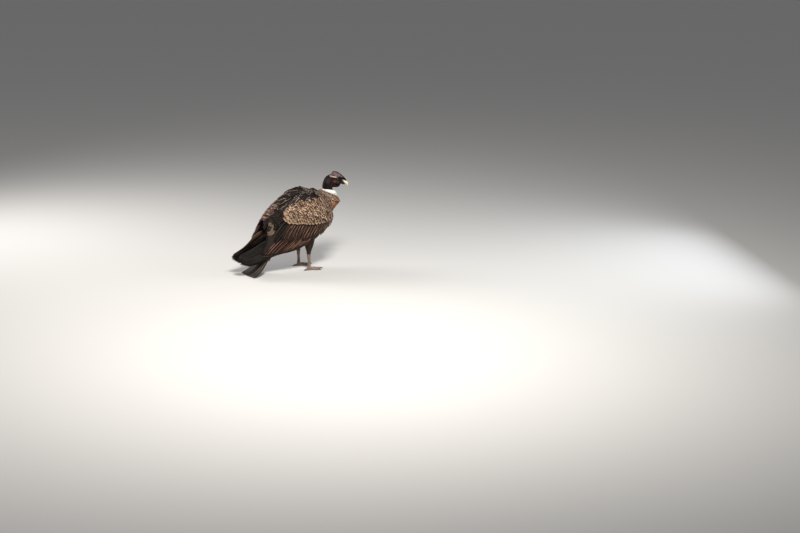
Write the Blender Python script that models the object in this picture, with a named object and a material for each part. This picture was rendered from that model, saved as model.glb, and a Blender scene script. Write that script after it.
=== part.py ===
# Andean condor, a young male at rest on both feet with its wings folded, as a life-size model.
# Metres. +X is forward, +Y is the bird's left, +Z is up, and the floor is at z = 0.
# The shapes are worked out round a point on the floor between the feet, and the empty
# "condor" then moves them so that the origin is the middle of the model's footprint.

import math

import bmesh
import bpy
import numpy as np
from mathutils import Euler, Matrix, Vector

# Driving sizes
GAP = 0.0003  # clearance between parts that touch
FLAT = math.radians(0.5)  # faces that turn less than this become one after a union
SIDES = (("left", 1), ("right", -1))

# Torso: stations along the spine from the tail root to the neck root
SPINE_X = (-0.262, -0.170, -0.060, 0.062, 0.150, 0.208, 0.232)
SPINE_Z = (0.262, 0.325, 0.402, 0.470, 0.518, 0.562, 0.610)
DEPTH_BACK = (0.045, 0.098, 0.152, 0.178, 0.170, 0.144, 0.086)
BELLY_KNOTS = (0, 0.167, 0.333, 0.5, 0.667, 0.75, 0.833, 0.90, 1)  # closer at the crop
DEPTH_BELLY = (0.045, 0.112, 0.162, 0.166, 0.122, 0.106, 0.101, 0.119, 0.090)
HALF_WIDTH = (0.050, 0.098, 0.140, 0.153, 0.136, 0.104, 0.074)
TORSO_RINGS = 20
TORSO_SEGMENTS = 24

# Wing: a long rounded shell over the flank, in stations behind its front end
WING_FRONT = (0.205, 0.500)  # x, z of the front end
WING_SLOPE = math.radians(29)  # how steeply the shell runs down to the rear
WING_KNOTS = (0.00, 0.05, 0.15, 0.30, 0.45, 0.60, 0.75, 0.90, 1.00)
WING_OUT = (0.118, 0.152, 0.180, 0.184, 0.164, 0.130, 0.099, 0.074, 0.064)
WING_RIDGE = (0.085, 0.095, 0.096, 0.090, 0.076, 0.057, 0.042, 0.034, 0.032)
WING_CENTRE = (0.020, 0.040, 0.070, 0.080, 0.080, 0.068, 0.052, 0.066, 0.076)
WING_RISE = (0.110, 0.167, 0.191, 0.180, 0.164, 0.120, 0.080, 0.070, 0.062)
WING_FALL = (0.085, 0.145, 0.212, 0.232, 0.210, 0.148, 0.100, 0.080, 0.074)
ARM_THICKNESS = 0.055  # the fleshy arm inside the feathers, before the torso cuts it

# Feathers
VANE_THICKNESS = 0.0014  # at the shaft
VANE_EDGE = 0.0007
SHINGLE = math.radians(4.0)  # each vane tips this much, so that one edge lies over the next
LAYER = 0.0035  # between one tier of feathers and the tier over it

# Tail
TAIL_X = (-0.262, -0.318, -0.372, -0.432, -0.492, -0.548)
TAIL_Z = (0.262, 0.205, 0.132, 0.062, 0.016, -0.0035)
TAIL_SPREAD = 0.112  # half the fan's width at its tip
TAIL_FEATHERS = 12
TAIL_SHINGLE = math.radians(6.5)

# Head, in its own frame: x to the bill's tip, z up, origin between the eyes
HEAD_PLACE = (0.302, 0.0, 0.719)
HEAD_YAW = math.radians(-20)
HEAD_PITCH = math.radians(13)
EYE_RADIUS = 0.0083
EYE_PLACE = (0.011, 0.0262, 0.008)
BILL_ROOT_X = 0.052
MOUTH_Z = -0.0138

NECK_SEGMENTS = 18

# Neck, from its foot to where the head starts, as x, z, depth behind, depth in front, half width
NECK = (
    (0.2330, 0.610, 0.0440, 0.0440, 0.0450),
    (0.2290, 0.634, 0.0425, 0.0425, 0.0430),
    (0.2240, 0.655, 0.0415, 0.0420, 0.0420),
    (0.2240, 0.674, 0.0415, 0.0410, 0.0415),
    (0.2310, 0.696, 0.0410, 0.0390, 0.0405),
)

# Head, from the nape to the bill's root: place, depth over, depth under, half width
HEAD = (
    (0.2310, 0.0030, 0.6960, 0.0410, 0.0390, 0.0405),
    (0.2480, 0.0080, 0.7180, 0.0430, 0.0420, 0.0400),
    (0.2740, 0.0085, 0.7270, 0.0395, 0.0460, 0.0370),
    (0.2974, 0.0017, 0.7201, 0.0350, 0.0465, 0.0345),
    (0.3185, -0.0060, 0.7152, 0.0325, 0.0420, 0.0320),
    (0.3355, -0.0122, 0.7106, 0.0270, 0.0340, 0.0260),
    (0.3492, -0.0172, 0.7068, 0.0185, 0.0200, 0.0180),
)

# Ruff: a soft white collar round the foot of the neck
RUFF_PLACE = (0.2400, 0.0, 0.630)
RUFF_LEAN = 0.40  # how far the ring drops towards the front, as a slope
RUFF_LOCKS = 16

# Legs
FOOT_SPREAD = 0.088
HEEL = (-0.004, 0.087, 0.142)
TOE_RADIUS = 0.0098
# name, heading away from straight ahead (outwards is plus), length, joints
TOES = (("inner", -30, 0.074, 2), ("middle", 0, 0.108, 3), ("outer", 30, 0.078, 3), ("hind", 172, 0.038, 1))
CLAW_LENGTH = 0.024

# Colours
BROWN = (0.105, 0.060, 0.038)
BLACK_BROWN = (0.022, 0.016, 0.014)
BARE_SKIN = (0.060, 0.034, 0.032)
COMB_SKIN = (0.110, 0.080, 0.078)
WHITE_DOWN = (0.850, 0.840, 0.800)
LEG_SKIN = (0.230, 0.180, 0.150)
HORN_DARK = (0.030, 0.026, 0.026)
HORN_PALE = (0.700, 0.640, 0.500)
EYE_BROWN = (0.060, 0.025, 0.015)


# Curves, surfaces and meshes


def eased(knots, values, at):
    """A smooth curve through the values at the knots: cubic, with each slope taken from its neighbours."""
    knots = np.asarray(knots, float)
    values = np.asarray(values, float)
    at = np.asarray(at, float)
    slopes = np.gradient(values, knots)
    i = np.clip(np.searchsorted(knots, at, side="right") - 1, 0, len(knots) - 2)
    width = knots[i + 1] - knots[i]
    u = (at - knots[i]) / width
    rise = values[i + 1] - values[i]
    start = slopes[i] * width
    end = slopes[i + 1] * width
    return values[i] + u * (start + u * (3 * rise - 2 * start - end + u * (start + end - 2 * rise)))


def unit(vectors):
    return vectors / np.maximum(np.linalg.norm(vectors, axis=-1, keepdims=True), 1e-12)


def mesh_object(name, points, faces):
    """An object from points and faces, with its faces turned to point outwards."""
    mesh = bpy.data.meshes.new(name)
    mesh.from_pydata([tuple(map(float, p)) for p in points], [], faces)
    body = bmesh.new()
    body.from_mesh(mesh)
    bmesh.ops.recalc_face_normals(body, faces=body.faces)
    body.to_mesh(mesh)
    body.free()
    made = bpy.data.objects.new(name, mesh)
    bpy.context.scene.collection.objects.link(made)
    return made


def tube(name, rings):
    """A closed solid through rings of points, with a flat cap on each end."""
    count, around = rings.shape[:2]
    faces = [tuple(range(around)), tuple(range((count - 1) * around, count * around))]
    for i in range(count - 1):
        for j in range(around):
            k = (j + 1) % around
            faces.append((i * around + j, i * around + k, (i + 1) * around + k, (i + 1) * around + j))
    return mesh_object(name, rings.reshape(-1, 3), faces)


def plate(name, outer, inner):
    """A closed solid between two grids of points, split into the same triangles on both faces."""
    rows, columns = outer.shape[:2]
    far = rows * columns
    faces = []
    for i in range(rows - 1):
        for j in range(columns - 1):
            a, b = i * columns + j, i * columns + j + 1
            c, d = b + columns, a + columns
            for corners in ((a, b, c), (a, c, d)):
                faces.append(corners)
                faces.append(tuple(far + corner for corner in reversed(corners)))
    rim = [j for j in range(columns)]
    rim += [i * columns + columns - 1 for i in range(1, rows)]
    rim += [(rows - 1) * columns + j for j in range(columns - 2, -1, -1)]
    rim += [i * columns for i in range(rows - 2, 0, -1)]
    for a, b in zip(rim, rim[1:] + rim[:1]):
        faces.append((b, a, far + a))
        faces.append((b, far + a, far + b))
    return mesh_object(name, np.concatenate([outer.reshape(-1, 3), inner.reshape(-1, 3)]), faces)


def fixed(made):
    """The object with its modifiers and placing made part of its mesh."""
    graph = bpy.context.evaluated_depsgraph_get()
    mesh = bpy.data.meshes.new_from_object(made.evaluated_get(graph))
    mesh.transform(made.matrix_world)
    made.modifiers.clear()
    made.data = mesh
    made.matrix_world = Matrix.Identity(4)
    return made


def largest_only(made):
    """Keeps the mesh's largest closed surface, so that no sealed hollow, flap or loose scrap is left.

    Then it makes flat neighbours one face, where the mesh stays closed."""
    body = bmesh.new()
    body.from_mesh(made.data)
    bmesh.ops.triangulate(body, faces=body.faces)
    body.faces.ensure_lookup_table()
    unseen = set(range(len(body.faces)))
    surfaces = []
    while unseen:
        surface = {unseen.pop()}
        edge_of = list(surface)
        while edge_of:
            for edge in body.faces[edge_of.pop()].edges:
                if len(edge.link_faces) != 2:
                    continue
                for face in edge.link_faces:
                    if face.index in unseen:
                        unseen.discard(face.index)
                        surface.add(face.index)
                        edge_of.append(face.index)
        surfaces.append(surface)
    surfaces.sort(key=lambda surface: sum(body.faces[i].calc_area() for i in surface))
    spare = [body.faces[i] for surface in surfaces[:-1] for i in surface]
    bmesh.ops.delete(body, geom=spare, context="FACES")
    body.to_mesh(made.data)
    bmesh.ops.dissolve_limit(body, angle_limit=FLAT, verts=body.verts, edges=body.edges)
    bmesh.ops.triangulate(body, faces=body.faces)
    if all(len(edge.link_faces) == 2 for edge in body.edges) and all(vert.link_faces for vert in body.verts):
        body.to_mesh(made.data)
    body.free()
    return made


def joined(core, pieces):
    """One Boolean union of the core and its pieces, which are then removed."""
    group = bpy.data.collections.new(core.name + "_pieces")
    bpy.context.scene.collection.children.link(group)
    for piece in pieces:
        bpy.context.scene.collection.objects.unlink(piece)
        group.objects.link(piece)
    union = core.modifiers.new("join", "BOOLEAN")
    union.operation = "UNION"
    union.operand_type = "COLLECTION"
    union.collection = group
    union.solver = "MANIFOLD"
    fixed(core)
    for piece in pieces:
        bpy.data.objects.remove(piece)
    bpy.data.collections.remove(group)
    return largest_only(core)


def swollen(made, by=GAP):
    """A copy of the object, larger all round by the gap, to cut a neighbour with."""
    cutter = made.copy()
    cutter.data = made.data.copy()
    bpy.context.scene.collection.objects.link(cutter)
    body = bmesh.new()
    body.from_mesh(cutter.data)
    body.normal_update()
    for vert, normal in [(v, v.normal.copy() * v.calc_shell_factor()) for v in body.verts]:
        vert.co += normal * by
    body.to_mesh(cutter.data)
    body.free()
    return cutter


def cut(made, *cutters):
    """Takes the cutters out of the object, and removes them."""
    for cutter in cutters:
        difference = made.modifiers.new("cut", "BOOLEAN")
        difference.operation = "DIFFERENCE"
        difference.object = cutter
        difference.solver = "MANIFOLD"
        fixed(made)
        bpy.data.objects.remove(cutter)
    return largest_only(made)


def box_object(name, low, high):
    bpy.ops.mesh.primitive_cube_add(size=1)
    made = bpy.context.object
    made.name = name
    made.scale = [b - a for a, b in zip(low, high)]
    made.location = [(a + b) / 2 for a, b in zip(low, high)]
    bpy.context.view_layer.update()
    return fixed(made)


def finished(made, colour, roughness, parent):
    """Gives the object its material and its place under a parent, and shades it smooth."""
    material = bpy.data.materials.new(made.name)
    material.use_nodes = True
    shader = material.node_tree.nodes["Principled BSDF"]
    shader.inputs["Base Color"].default_value = (*colour, 1)
    shader.inputs["Roughness"].default_value = roughness
    shader.inputs["Metallic"].default_value = 0
    made.data.materials.clear()
    made.data.materials.append(material)
    made.data.shade_smooth()
    made.data.set_sharp_from_angle(angle=math.radians(40))
    made.parent = parent
    return made


# Torso


def spine_at(s):
    """Centre, up-and-back direction, forward direction and sizes of the torso at share s of its length."""
    knots = np.linspace(0, 1, len(SPINE_X))
    step = 1e-3
    x, z = eased(knots, SPINE_X, s), eased(knots, SPINE_Z, s)
    dx = eased(knots, SPINE_X, s + step) - eased(knots, SPINE_X, s - step)
    dz = eased(knots, SPINE_Z, s + step) - eased(knots, SPINE_Z, s - step)
    forward = unit(np.stack([dx, 0 * dx, dz], -1))
    back = np.stack([-forward[..., 2], 0 * dx, forward[..., 0]], -1)
    sizes = [eased(knots, DEPTH_BACK, s), eased(BELLY_KNOTS, DEPTH_BELLY, s), eased(knots, HALF_WIDTH, s)]
    return np.stack([x, 0 * x, z], -1), back, forward, sizes


def torso_rings(stations, angles, grow=0.0):
    """Rings of an egg-shaped section: half an ellipse over the spine and a deeper half under it."""
    centre, back, _, (over, under, half) = spine_at(stations)
    sine, cosine = np.sin(angles), np.cos(angles)
    depth = np.where(sine > 0, over[:, None], under[:, None]) + grow
    side = np.array([0.0, 1.0, 0.0])
    return (
        centre[:, None]
        + (depth * sine)[..., None] * back[:, None]
        + ((half[:, None] + grow) * cosine)[..., None] * side
    )


def make_torso():
    stations = np.linspace(0, 1, TORSO_RINGS)
    angles = np.linspace(0, 2 * math.pi, TORSO_SEGMENTS, endpoint=False)
    return tube("torso", torso_rings(stations, angles))


# Wings


def wing_surface(along, angle, side):
    """A point of the wing's shell: along it from the front, and round it from 0, level with its centre line.

    The section is part of an ellipse about a ridge line: 90 degrees is its top and -50 its lower edge."""
    out, ridge, centre, rise, fall = [
        eased(WING_KNOTS, values, along)
        for values in (WING_OUT, WING_RIDGE, WING_CENTRE, WING_RISE, WING_FALL)
    ]
    height = centre + np.where(np.sin(angle) > 0, rise, fall) * np.sin(angle)
    x = WING_FRONT[0] - math.cos(WING_SLOPE) * along - math.sin(WING_SLOPE) * height
    z = WING_FRONT[1] - math.sin(WING_SLOPE) * along + math.cos(WING_SLOPE) * height
    y = side * (ridge + (out - ridge) * np.cos(angle))
    return np.stack(np.broadcast_arrays(x, y, z), -1)


def wing_frame(along, angle, side):
    """The shell's point there, its two slopes and its outward normal."""
    step = 1e-4
    by_along = (wing_surface(along + step, angle, side) - wing_surface(along - step, angle, side)) / (2 * step)
    by_angle = (wing_surface(along, angle + step, side) - wing_surface(along, angle - step, side)) / (2 * step)
    normal = unit(np.cross(by_along, by_angle)) * side
    return wing_surface(along, angle, side), by_along, by_angle, normal


def wing_vane(name, side, root, tip, half_width, height, profile, lap=1.0, rows=4):
    """A feather that follows the shell from root to tip, each given as (along, angle in degrees).

    height is its layer over the shell at the root and at the tip. profile is the width at each row."""
    share = np.linspace(0, 1, rows + 1)
    along = root[0] + (tip[0] - root[0]) * share
    angle = np.radians(root[1] + (tip[1] - root[1]) * share)
    place, by_along, by_angle, normal = wing_frame(along, angle, side)
    run = unit(np.gradient(place, axis=0))
    across = unit(np.cross(normal, run))
    widths = half_width * eased(np.linspace(0, 1, len(profile)), profile, share)
    outer, inner = [], []
    for column in (-1.0, 0.0, 1.0):
        offset = widths * column
        shift = across * offset[:, None]
        d_along = (shift * by_along).sum(-1) / (by_along**2).sum(-1)
        d_angle = (shift * by_angle).sum(-1) / (by_angle**2).sum(-1)
        point, _, _, out = wing_frame(along + d_along, angle + d_angle, side)
        lift = height[0] + (height[1] - height[0]) * share + offset * math.tan(SHINGLE) * lap * side
        thick = (VANE_THICKNESS if column == 0 else VANE_EDGE) / 2
        outer.append(point + out * (lift + thick)[:, None])
        inner.append(point + out * (lift - thick)[:, None])
    return plate(name, np.stack(outer, 1), np.stack(inner, 1))


ROUND_VANE = (0.36, 0.80, 1.00, 0.98, 0.42)
LONG_VANE = (0.28, 0.74, 1.00, 0.86, 0.28)


def tier(name, side, count, roots, tips, half_width, height, profile, lap=1.0, rows=4):
    """A row of feathers: roots and tips are each two lists, along and angle, spread evenly over the row."""
    made = []
    for i, f in enumerate(np.linspace(0, 1, count)):
        root = [float(eased(np.linspace(0, 1, len(line)), line, f)) for line in roots]
        tip = [float(eased(np.linspace(0, 1, len(line)), line, f)) for line in tips]
        made.append(wing_vane(f"{name}_{i}", side, root, tip, half_width, height, profile, lap, rows))
    return made


def make_arm(side):
    """The fleshy arm and hand: a slab under the shell, thin at its rear and lower edges."""
    along = np.array([0.0, 0.025, 0.08, 0.17, 0.28, 0.39, 0.50])
    thin = np.array([0.35, 0.75, 1.0, 1.0, 0.85, 0.45, 0.14])
    angle = np.radians(np.linspace(118, -47, 10))
    edge = eased(np.linspace(0, 1, 7), (0.25, 0.7, 1.0, 1.0, 0.9, 0.55, 0.2), np.linspace(0, 1, 10))
    grid_along, grid_angle = np.meshgrid(along, angle, indexing="ij")
    place, _, _, normal = wing_frame(grid_along, grid_angle, side)
    depth = ARM_THICKNESS * thin[:, None] * edge[None, :] + 0.004
    return plate("wing_" + dict((s, n) for n, s in SIDES)[side], place, place - normal * depth[..., None])


def make_wing(side):
    """Primaries lie innermost, then secondaries, tertials, greater and median coverts and scapulars."""
    vanes = tier(
        "primary", side, 6,
        ((0.36, 0.38, 0.40), (-44, -38, -30)),
        ((0.835, 0.885, 0.908, 0.908, 0.885), (-44, -22, 6, 38, 68)),
        0.029, (-0.012, -0.002), LONG_VANE, rows=3,
    )
    vanes += tier(
        "secondary", side, 9,
        ((0.12, 0.26, 0.40), (-38, -14, 16)),
        ((0.335, 0.43, 0.535, 0.64, 0.735), (-53, -55, -55, -44, -14)),
        0.037, (-0.012, LAYER), ROUND_VANE, rows=3,
    )
    vanes += tier(
        "tertial", side, 5,
        ((0.40, 0.38, 0.33), (26, 62, 108)),
        ((0.735, 0.650, 0.575, 0.515), (-4, 26, 60, 106)),
        0.037, (-0.012, 2 * LAYER), ROUND_VANE, rows=3,
    )
    vanes += tier(
        "greater_covert", side, 7,
        ((0.09, 0.24, 0.38), (-28, 2, 34)),
        ((0.215, 0.375, 0.535), (-43, -24, 4)),
        0.038, (-0.012, 3 * LAYER), ROUND_VANE, rows=2,
    )
    vanes += tier(
        "median_covert", side, 6,
        ((0.07, 0.22, 0.36), (-12, 18, 52)),
        ((0.150, 0.300, 0.455), (-29, -5, 25)),
        0.038, (-0.012, 4 * LAYER), ROUND_VANE, rows=2,
    )
    vanes += tier(
        "scapular", side, 4,
        ((0.10, 0.12, 0.15), (56, 84, 122)),
        ((0.28, 0.315, 0.34), (46, 78, 120)),
        0.040, (-0.012, 2.5 * LAYER), ROUND_VANE, rows=2,
    )
    return joined(make_arm(side), vanes)


# Tail


def tail_line(share):
    """Centre, direction and upward normal of the tail at share of its length from the root."""
    knots = np.linspace(0, 1, len(TAIL_X))
    step = 1e-3
    point = np.stack([eased(knots, TAIL_X, share), 0 * share, eased(knots, TAIL_Z, share)], -1)
    ahead = np.stack([eased(knots, TAIL_X, share + step), 0 * share, eased(knots, TAIL_Z, share + step)], -1)
    run = unit(ahead - point)
    return point, run, np.cross(np.array([0.0, 1.0, 0.0]), run)


def tail_vane(name, f, first, last, half_width, height, rows=4):
    """A tail feather at share f of the fan, -1 at the bird's right and 1 at its left."""
    share = first + (last - first) * np.linspace(0, 1, rows + 1)
    point, run, up = tail_line(share)
    fan = 0.028 + (TAIL_SPREAD - 0.028) * share
    middle = f * fan
    slope = f * (TAIL_SPREAD - 0.028) / 0.40
    widths = half_width * eased(np.linspace(0, 1, 5), (0.24, 0.66, 1.0, 0.97, 0.50), np.linspace(0, 1, rows + 1))
    outer, inner = [], []
    for column in (-1.0, 0.0, 1.0):
        offset = widths * column
        place = point + np.array([0.0, 1.0, 0.0]) * (middle + offset)[:, None] - run * (offset * slope)[:, None]
        tilt = offset * math.tan(TAIL_SHINGLE) * (-1 if f > 0 else 1)
        lift = height[0] + (height[1] - height[0]) * np.linspace(0, 1, rows + 1) + tilt
        lift = lift + 0.006 * (1 - abs(f)) * share - 0.010 * f * f * (1 - share)
        thick = (VANE_THICKNESS if column == 0 else VANE_EDGE) / 2
        outer.append(place + up * (lift + thick)[:, None])
        inner.append(place + up * (lift - thick)[:, None])
    return plate(name, np.stack(outer, 1), np.stack(inner, 1))


def make_tail(torso_end):
    """A wedge of flesh with a fan of twelve feathers, and coverts over and under their roots."""
    share = np.linspace(0, 0.26, 6)
    centre, run, over = tail_line(share)
    start_run = -unit(torso_end[2])
    start_over = torso_end[1]
    blend = np.minimum(share / 0.10, 1)[:, None]
    run = unit(start_run + (run - start_run) * blend)
    over = unit(start_over + (over - start_over) * blend)
    centre = centre + start_run * GAP
    side = np.array([0.0, 1.0, 0.0])
    angles = np.linspace(0, 2 * math.pi, 16, endpoint=False)
    depth = eased((0.0, 0.08, 0.17, 0.26), (DEPTH_BACK[0], 0.036, 0.018, 0.007), share)
    half = eased((0.0, 0.08, 0.17, 0.26), (HALF_WIDTH[0], 0.049, 0.042, 0.030), share)
    rings = (
        centre[:, None]
        + (depth[:, None] * np.sin(angles))[..., None] * over[:, None]
        + (half[:, None] * np.cos(angles))[..., None] * side
    )
    core = tube("tail", rings)
    vanes = []
    for i in range(TAIL_FEATHERS):
        f = 2 * i / (TAIL_FEATHERS - 1) - 1
        vanes.append(tail_vane(f"rectrix_{i}", f, 0.13, 1.0 - 0.05 * f * f, 0.024, (0.0, 0.0), rows=4))
    for count, lift, width in ((5, 0.011, 0.031), (3, -0.011, 0.033)):
        for i in range(count):
            f = 2 * i / (count - 1) - 1
            name = f"tail_covert_{count}_{i}"
            vanes.append(tail_vane(name, f * 0.82, 0.08, 0.46, width, (lift, lift), rows=2))
    tail = joined(core, vanes)
    return cut(tail, box_object("floor_cut", (-2, -1, -1), (2, 1, 0)))


# Neck, head and what grows on them


def sweep(name, centres, sides, over, under, half_widths, around):
    """A closed solid along a line of centres, with rounded sections square to it."""
    centres = np.asarray(centres, float)
    run = unit(np.gradient(centres, axis=0))
    up = unit(np.cross(run, np.asarray(sides, float)))
    side = np.cross(up, run)
    angles = np.linspace(0, 2 * math.pi, around, endpoint=False)
    height = np.where(np.sin(angles) > 0, np.asarray(over)[:, None], np.asarray(under)[:, None]) * np.sin(angles)
    rings = (
        centres[:, None]
        + height[..., None] * up[:, None]
        + (np.asarray(half_widths)[:, None] * np.cos(angles))[..., None] * side[:, None]
    )
    return tube(name, rings)


def smooth_rows(table, count):
    """The rows of a table of numbers, eased into more rows."""
    table = np.asarray(table, float)
    at = np.linspace(0, len(table) - 1, count)
    return np.stack([eased(np.arange(len(table)), column, at) for column in table.T], -1)


HEAD_TURN = np.array(Euler((0.0, HEAD_PITCH, HEAD_YAW)).to_matrix())


def on_head(points):
    """Points of the head's own frame in the model's frame."""
    return np.asarray(points, float) @ HEAD_TURN.T + np.array(HEAD_PLACE)


def neck_run():
    """The direction of the line of centres where the neck ends and the head starts."""
    head = smooth_rows(HEAD, 25)
    return unit(head[1, :3] - head[0, :3])


def make_neck():
    rows = smooth_rows([(x, 0.003 * max(0, i - 2) / 2, z, b, f, w) for i, (x, z, b, f, w) in enumerate(NECK)], 9)
    centres = rows[:, :3].copy()
    torso_end, _, forward, _ = spine_at(np.array([1.0]))
    centres[0] = torso_end[0] + forward[0] * GAP
    run = unit(np.gradient(centres, axis=0))
    run[0] = forward[0]
    run[-1] = neck_run()
    up = unit(np.cross(run, np.array([0.0, 1.0, 0.0])))
    side = np.cross(up, run)
    angles = np.linspace(0, 2 * math.pi, NECK_SEGMENTS, endpoint=False)
    fold = 1 + 0.018 * np.sin(rows[:, 2] * 260)[:, None] * np.cos(angles * 0.5 + 0.8) ** 2
    fold[0] = fold[-1] = 1
    sine = np.sin(angles)
    height = np.where(sine > 0, rows[:, 3:4], rows[:, 4:5]) * sine * fold
    rings = (
        centres[:, None]
        + height[..., None] * up[:, None]
        + (rows[:, 5:6] * np.cos(angles) * fold)[..., None] * side[:, None]
    )
    return tube("neck", rings)


def head_form():
    """The plain head from the nape to the bill's root, without its details."""
    rows = smooth_rows(HEAD, 13)
    centres = rows[:, :3]
    run = unit(np.gradient(centres, axis=0))
    run[0] = neck_run()
    run[-1] = HEAD_TURN[:, 0]
    turn = np.clip((np.arange(len(rows)) - 1) / 5, 0, 1)[:, None]
    sides = unit(np.array([0.0, 1.0, 0.0]) + (HEAD_TURN[:, 1] - np.array([0.0, 1.0, 0.0])) * turn)
    up = unit(np.cross(run, sides))
    side = np.cross(up, run)
    angles = np.linspace(0, 2 * math.pi, NECK_SEGMENTS, endpoint=False)
    sine = np.sin(angles)
    height = np.where(sine > 0, rows[:, 3:4], rows[:, 4:5]) * sine
    rings = (
        centres[:, None]
        + height[..., None] * up[:, None]
        + (rows[:, 5:6] * np.cos(angles))[..., None] * side[:, None]
    )
    rings[0] += run[0] * GAP
    return tube("head", rings)


def ball(name, place, radii, turn=None, segments=12, rings=7):
    """An ellipsoid of the head's frame."""
    angles = np.linspace(0, 2 * math.pi, segments, endpoint=False)
    points, faces = [(0, 0, 1)], []
    for i in range(1, rings):
        tall = math.pi * i / rings
        points += [(math.sin(tall) * math.cos(a), math.sin(tall) * math.sin(a), math.cos(tall)) for a in angles]
    points.append((0, 0, -1))
    last = len(points) - 1
    for j in range(segments):
        k = (j + 1) % segments
        faces.append((0, 1 + j, 1 + k))
        faces.append((last, last - segments + k, last - segments + j))
        for i in range(rings - 2):
            a = 1 + i * segments
            faces.append((a + j, a + segments + j, a + segments + k, a + k))
    local = np.array(points) * np.array(radii)
    if turn is not None:
        local = local @ np.array(Euler(turn).to_matrix()).T
    return mesh_object(name, on_head(local + np.array(place)), faces)


def hoop(name, place, major, minor, squash, around=12, section=4):
    """A ring of the head's frame that stands across its side, as the lids do."""
    points, faces = [], []
    for i in range(around):
        a = 2 * math.pi * i / around
        for j in range(section):
            b = 2 * math.pi * j / section
            out = major + minor * math.cos(b)
            points.append((out * math.cos(a), minor * 1.3 * math.sin(b), out * math.sin(a) * squash))
    for i in range(around):
        for j in range(section):
            a, b = i * section, ((i + 1) % around) * section
            k = (j + 1) % section
            faces.append((a + j, b + j, b + k, a + k))
    return mesh_object(name, on_head(np.array(points) + np.array(place)), faces)


def make_head():
    """The bare head, with lids, ears, lips, the line of the mouth and a wattle under the throat."""
    head = head_form()
    details = []
    for side in (1, -1):
        x, y, z = EYE_PLACE
        details.append(hoop("lids", (x, side * (y + 0.0062), z), 0.0078, 0.0022, 0.92))
        lip = [(0.014, 0.0330), (0.026, 0.0300), (0.038, 0.0242), (0.047, 0.0190), (0.0515, 0.0162)]
        lip = smooth_rows(lip, 5)
        places = on_head([(a, side * b, MOUTH_Z + 0.10 * (0.05 - a)) for a, b in lip])
        sides = np.tile(HEAD_TURN[:, 1], (5, 1))
        thick = eased((0, 2, 4), (0.0018, 0.0034, 0.0030), np.arange(5))
        details.append(sweep("lip", places, sides, thick, thick, thick, 6))
        fold = smooth_rows([(0.046, 0.006, -0.028), (0.030, 0.013, -0.041), (0.010, 0.017, -0.048),
                            (-0.010, 0.016, -0.052)], 6)
        fold[:, 1] *= side
        thick = eased((0, 1, 2.5, 4, 5), (0.003, 0.0085, 0.0105, 0.009, 0.004), np.arange(6))
        details.append(sweep("wattle", on_head(fold), np.tile(HEAD_TURN[:, 1], (6, 1)), thick, thick * 1.3,
                             thick * 0.75, 7))
    head = joined(head, details)
    cutters = []
    for side in (1, -1):
        x, y, z = EYE_PLACE
        reach = EYE_RADIUS + GAP
        cutters.append(ball("socket", (x, side * y, z), (reach,) * 3, (math.pi / 2, 0, 0), 12, 8))
        cutters.append(ball("ear", (-0.019, side * 0.0365, -0.006), (0.0058, 0.0060, 0.0075), None, 10, 5))
    slot = [(0.018, -0.0008), (0.030, -0.0004), (0.042, -0.0002), (0.060, 0.0)]
    outer = [[(a, y, MOUTH_Z + 0.10 * max(0.05 - a, 0) + 0.0006) for y in (-0.05, 0.05)] for a, _ in slot]
    inner = [[(a, y, MOUTH_Z + 0.10 * max(0.05 - a, 0) - 0.0006) for y in (-0.05, 0.05)] for a, _ in slot]
    for side in (1, -1):
        top = np.array(outer)
        low = np.array(inner)
        for grid in (top, low):
            grid[:, 0, 1] = side * np.array([0.0300, 0.0265, 0.0215, 0.0120])
            grid[:, 1, 1] = side * 0.05
        cutters.append(plate("mouth_line", on_head(top), on_head(low)))
    return cut(head, *cutters)


def bill_part(name, rows, around=14):
    rows = np.asarray(rows, float)
    local = np.stack([rows[:, 0], 0 * rows[:, 0], rows[:, 1]], -1)
    return sweep(name, on_head(local), np.tile(HEAD_TURN[:, 1], (len(rows), 1)), rows[:, 2], rows[:, 3], rows[:, 4], around)


def make_bill_upper():
    """The upper half of the bill, ivory at its hooked tip, with a nostril cut in each side."""
    x = BILL_ROOT_X + GAP
    rows = smooth_rows([
        (x, 0.0010, 0.0150, 0.0135, 0.0150),
        (0.066, 0.0005, 0.0135, 0.0128, 0.0132),
        (0.080, -0.0005, 0.0122, 0.0122, 0.0118),
        (0.093, -0.0020, 0.0112, 0.0115, 0.0102),
        (0.1025, -0.0070, 0.0098, 0.0100, 0.0085),
        (0.1085, -0.0150, 0.0070, 0.0070, 0.0062),
        (0.1105, -0.0230, 0.0042, 0.0042, 0.0038),
        (0.1100, -0.0290, 0.0015, 0.0015, 0.0014),
    ], 11)
    rows[0, 0] = x
    rows[1, 1] = rows[0, 1]
    bill = bill_part("bill_upper", rows, 10)
    nostrils = [ball("nostril", (0.0665, side * 0.0142, 0.0035), (0.0046, 0.0030, 0.0021)) for side in (1, -1)]
    return cut(bill, *nostrils)


def make_bill_lower():
    x = BILL_ROOT_X + GAP
    rows = smooth_rows([
        (x, -0.0190, 0.0058, 0.0058, 0.0122),
        (0.066, -0.0188, 0.0056, 0.0056, 0.0112),
        (0.080, -0.0184, 0.0053, 0.0052, 0.0096),
        (0.091, -0.0180, 0.0042, 0.0044, 0.0074),
        (0.0975, -0.0176, 0.0028, 0.0026, 0.0040),
    ], 7)
    rows[0, 0] = x
    rows[1, 1] = rows[0, 1]
    return bill_part("bill_lower", rows, 10)


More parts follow.
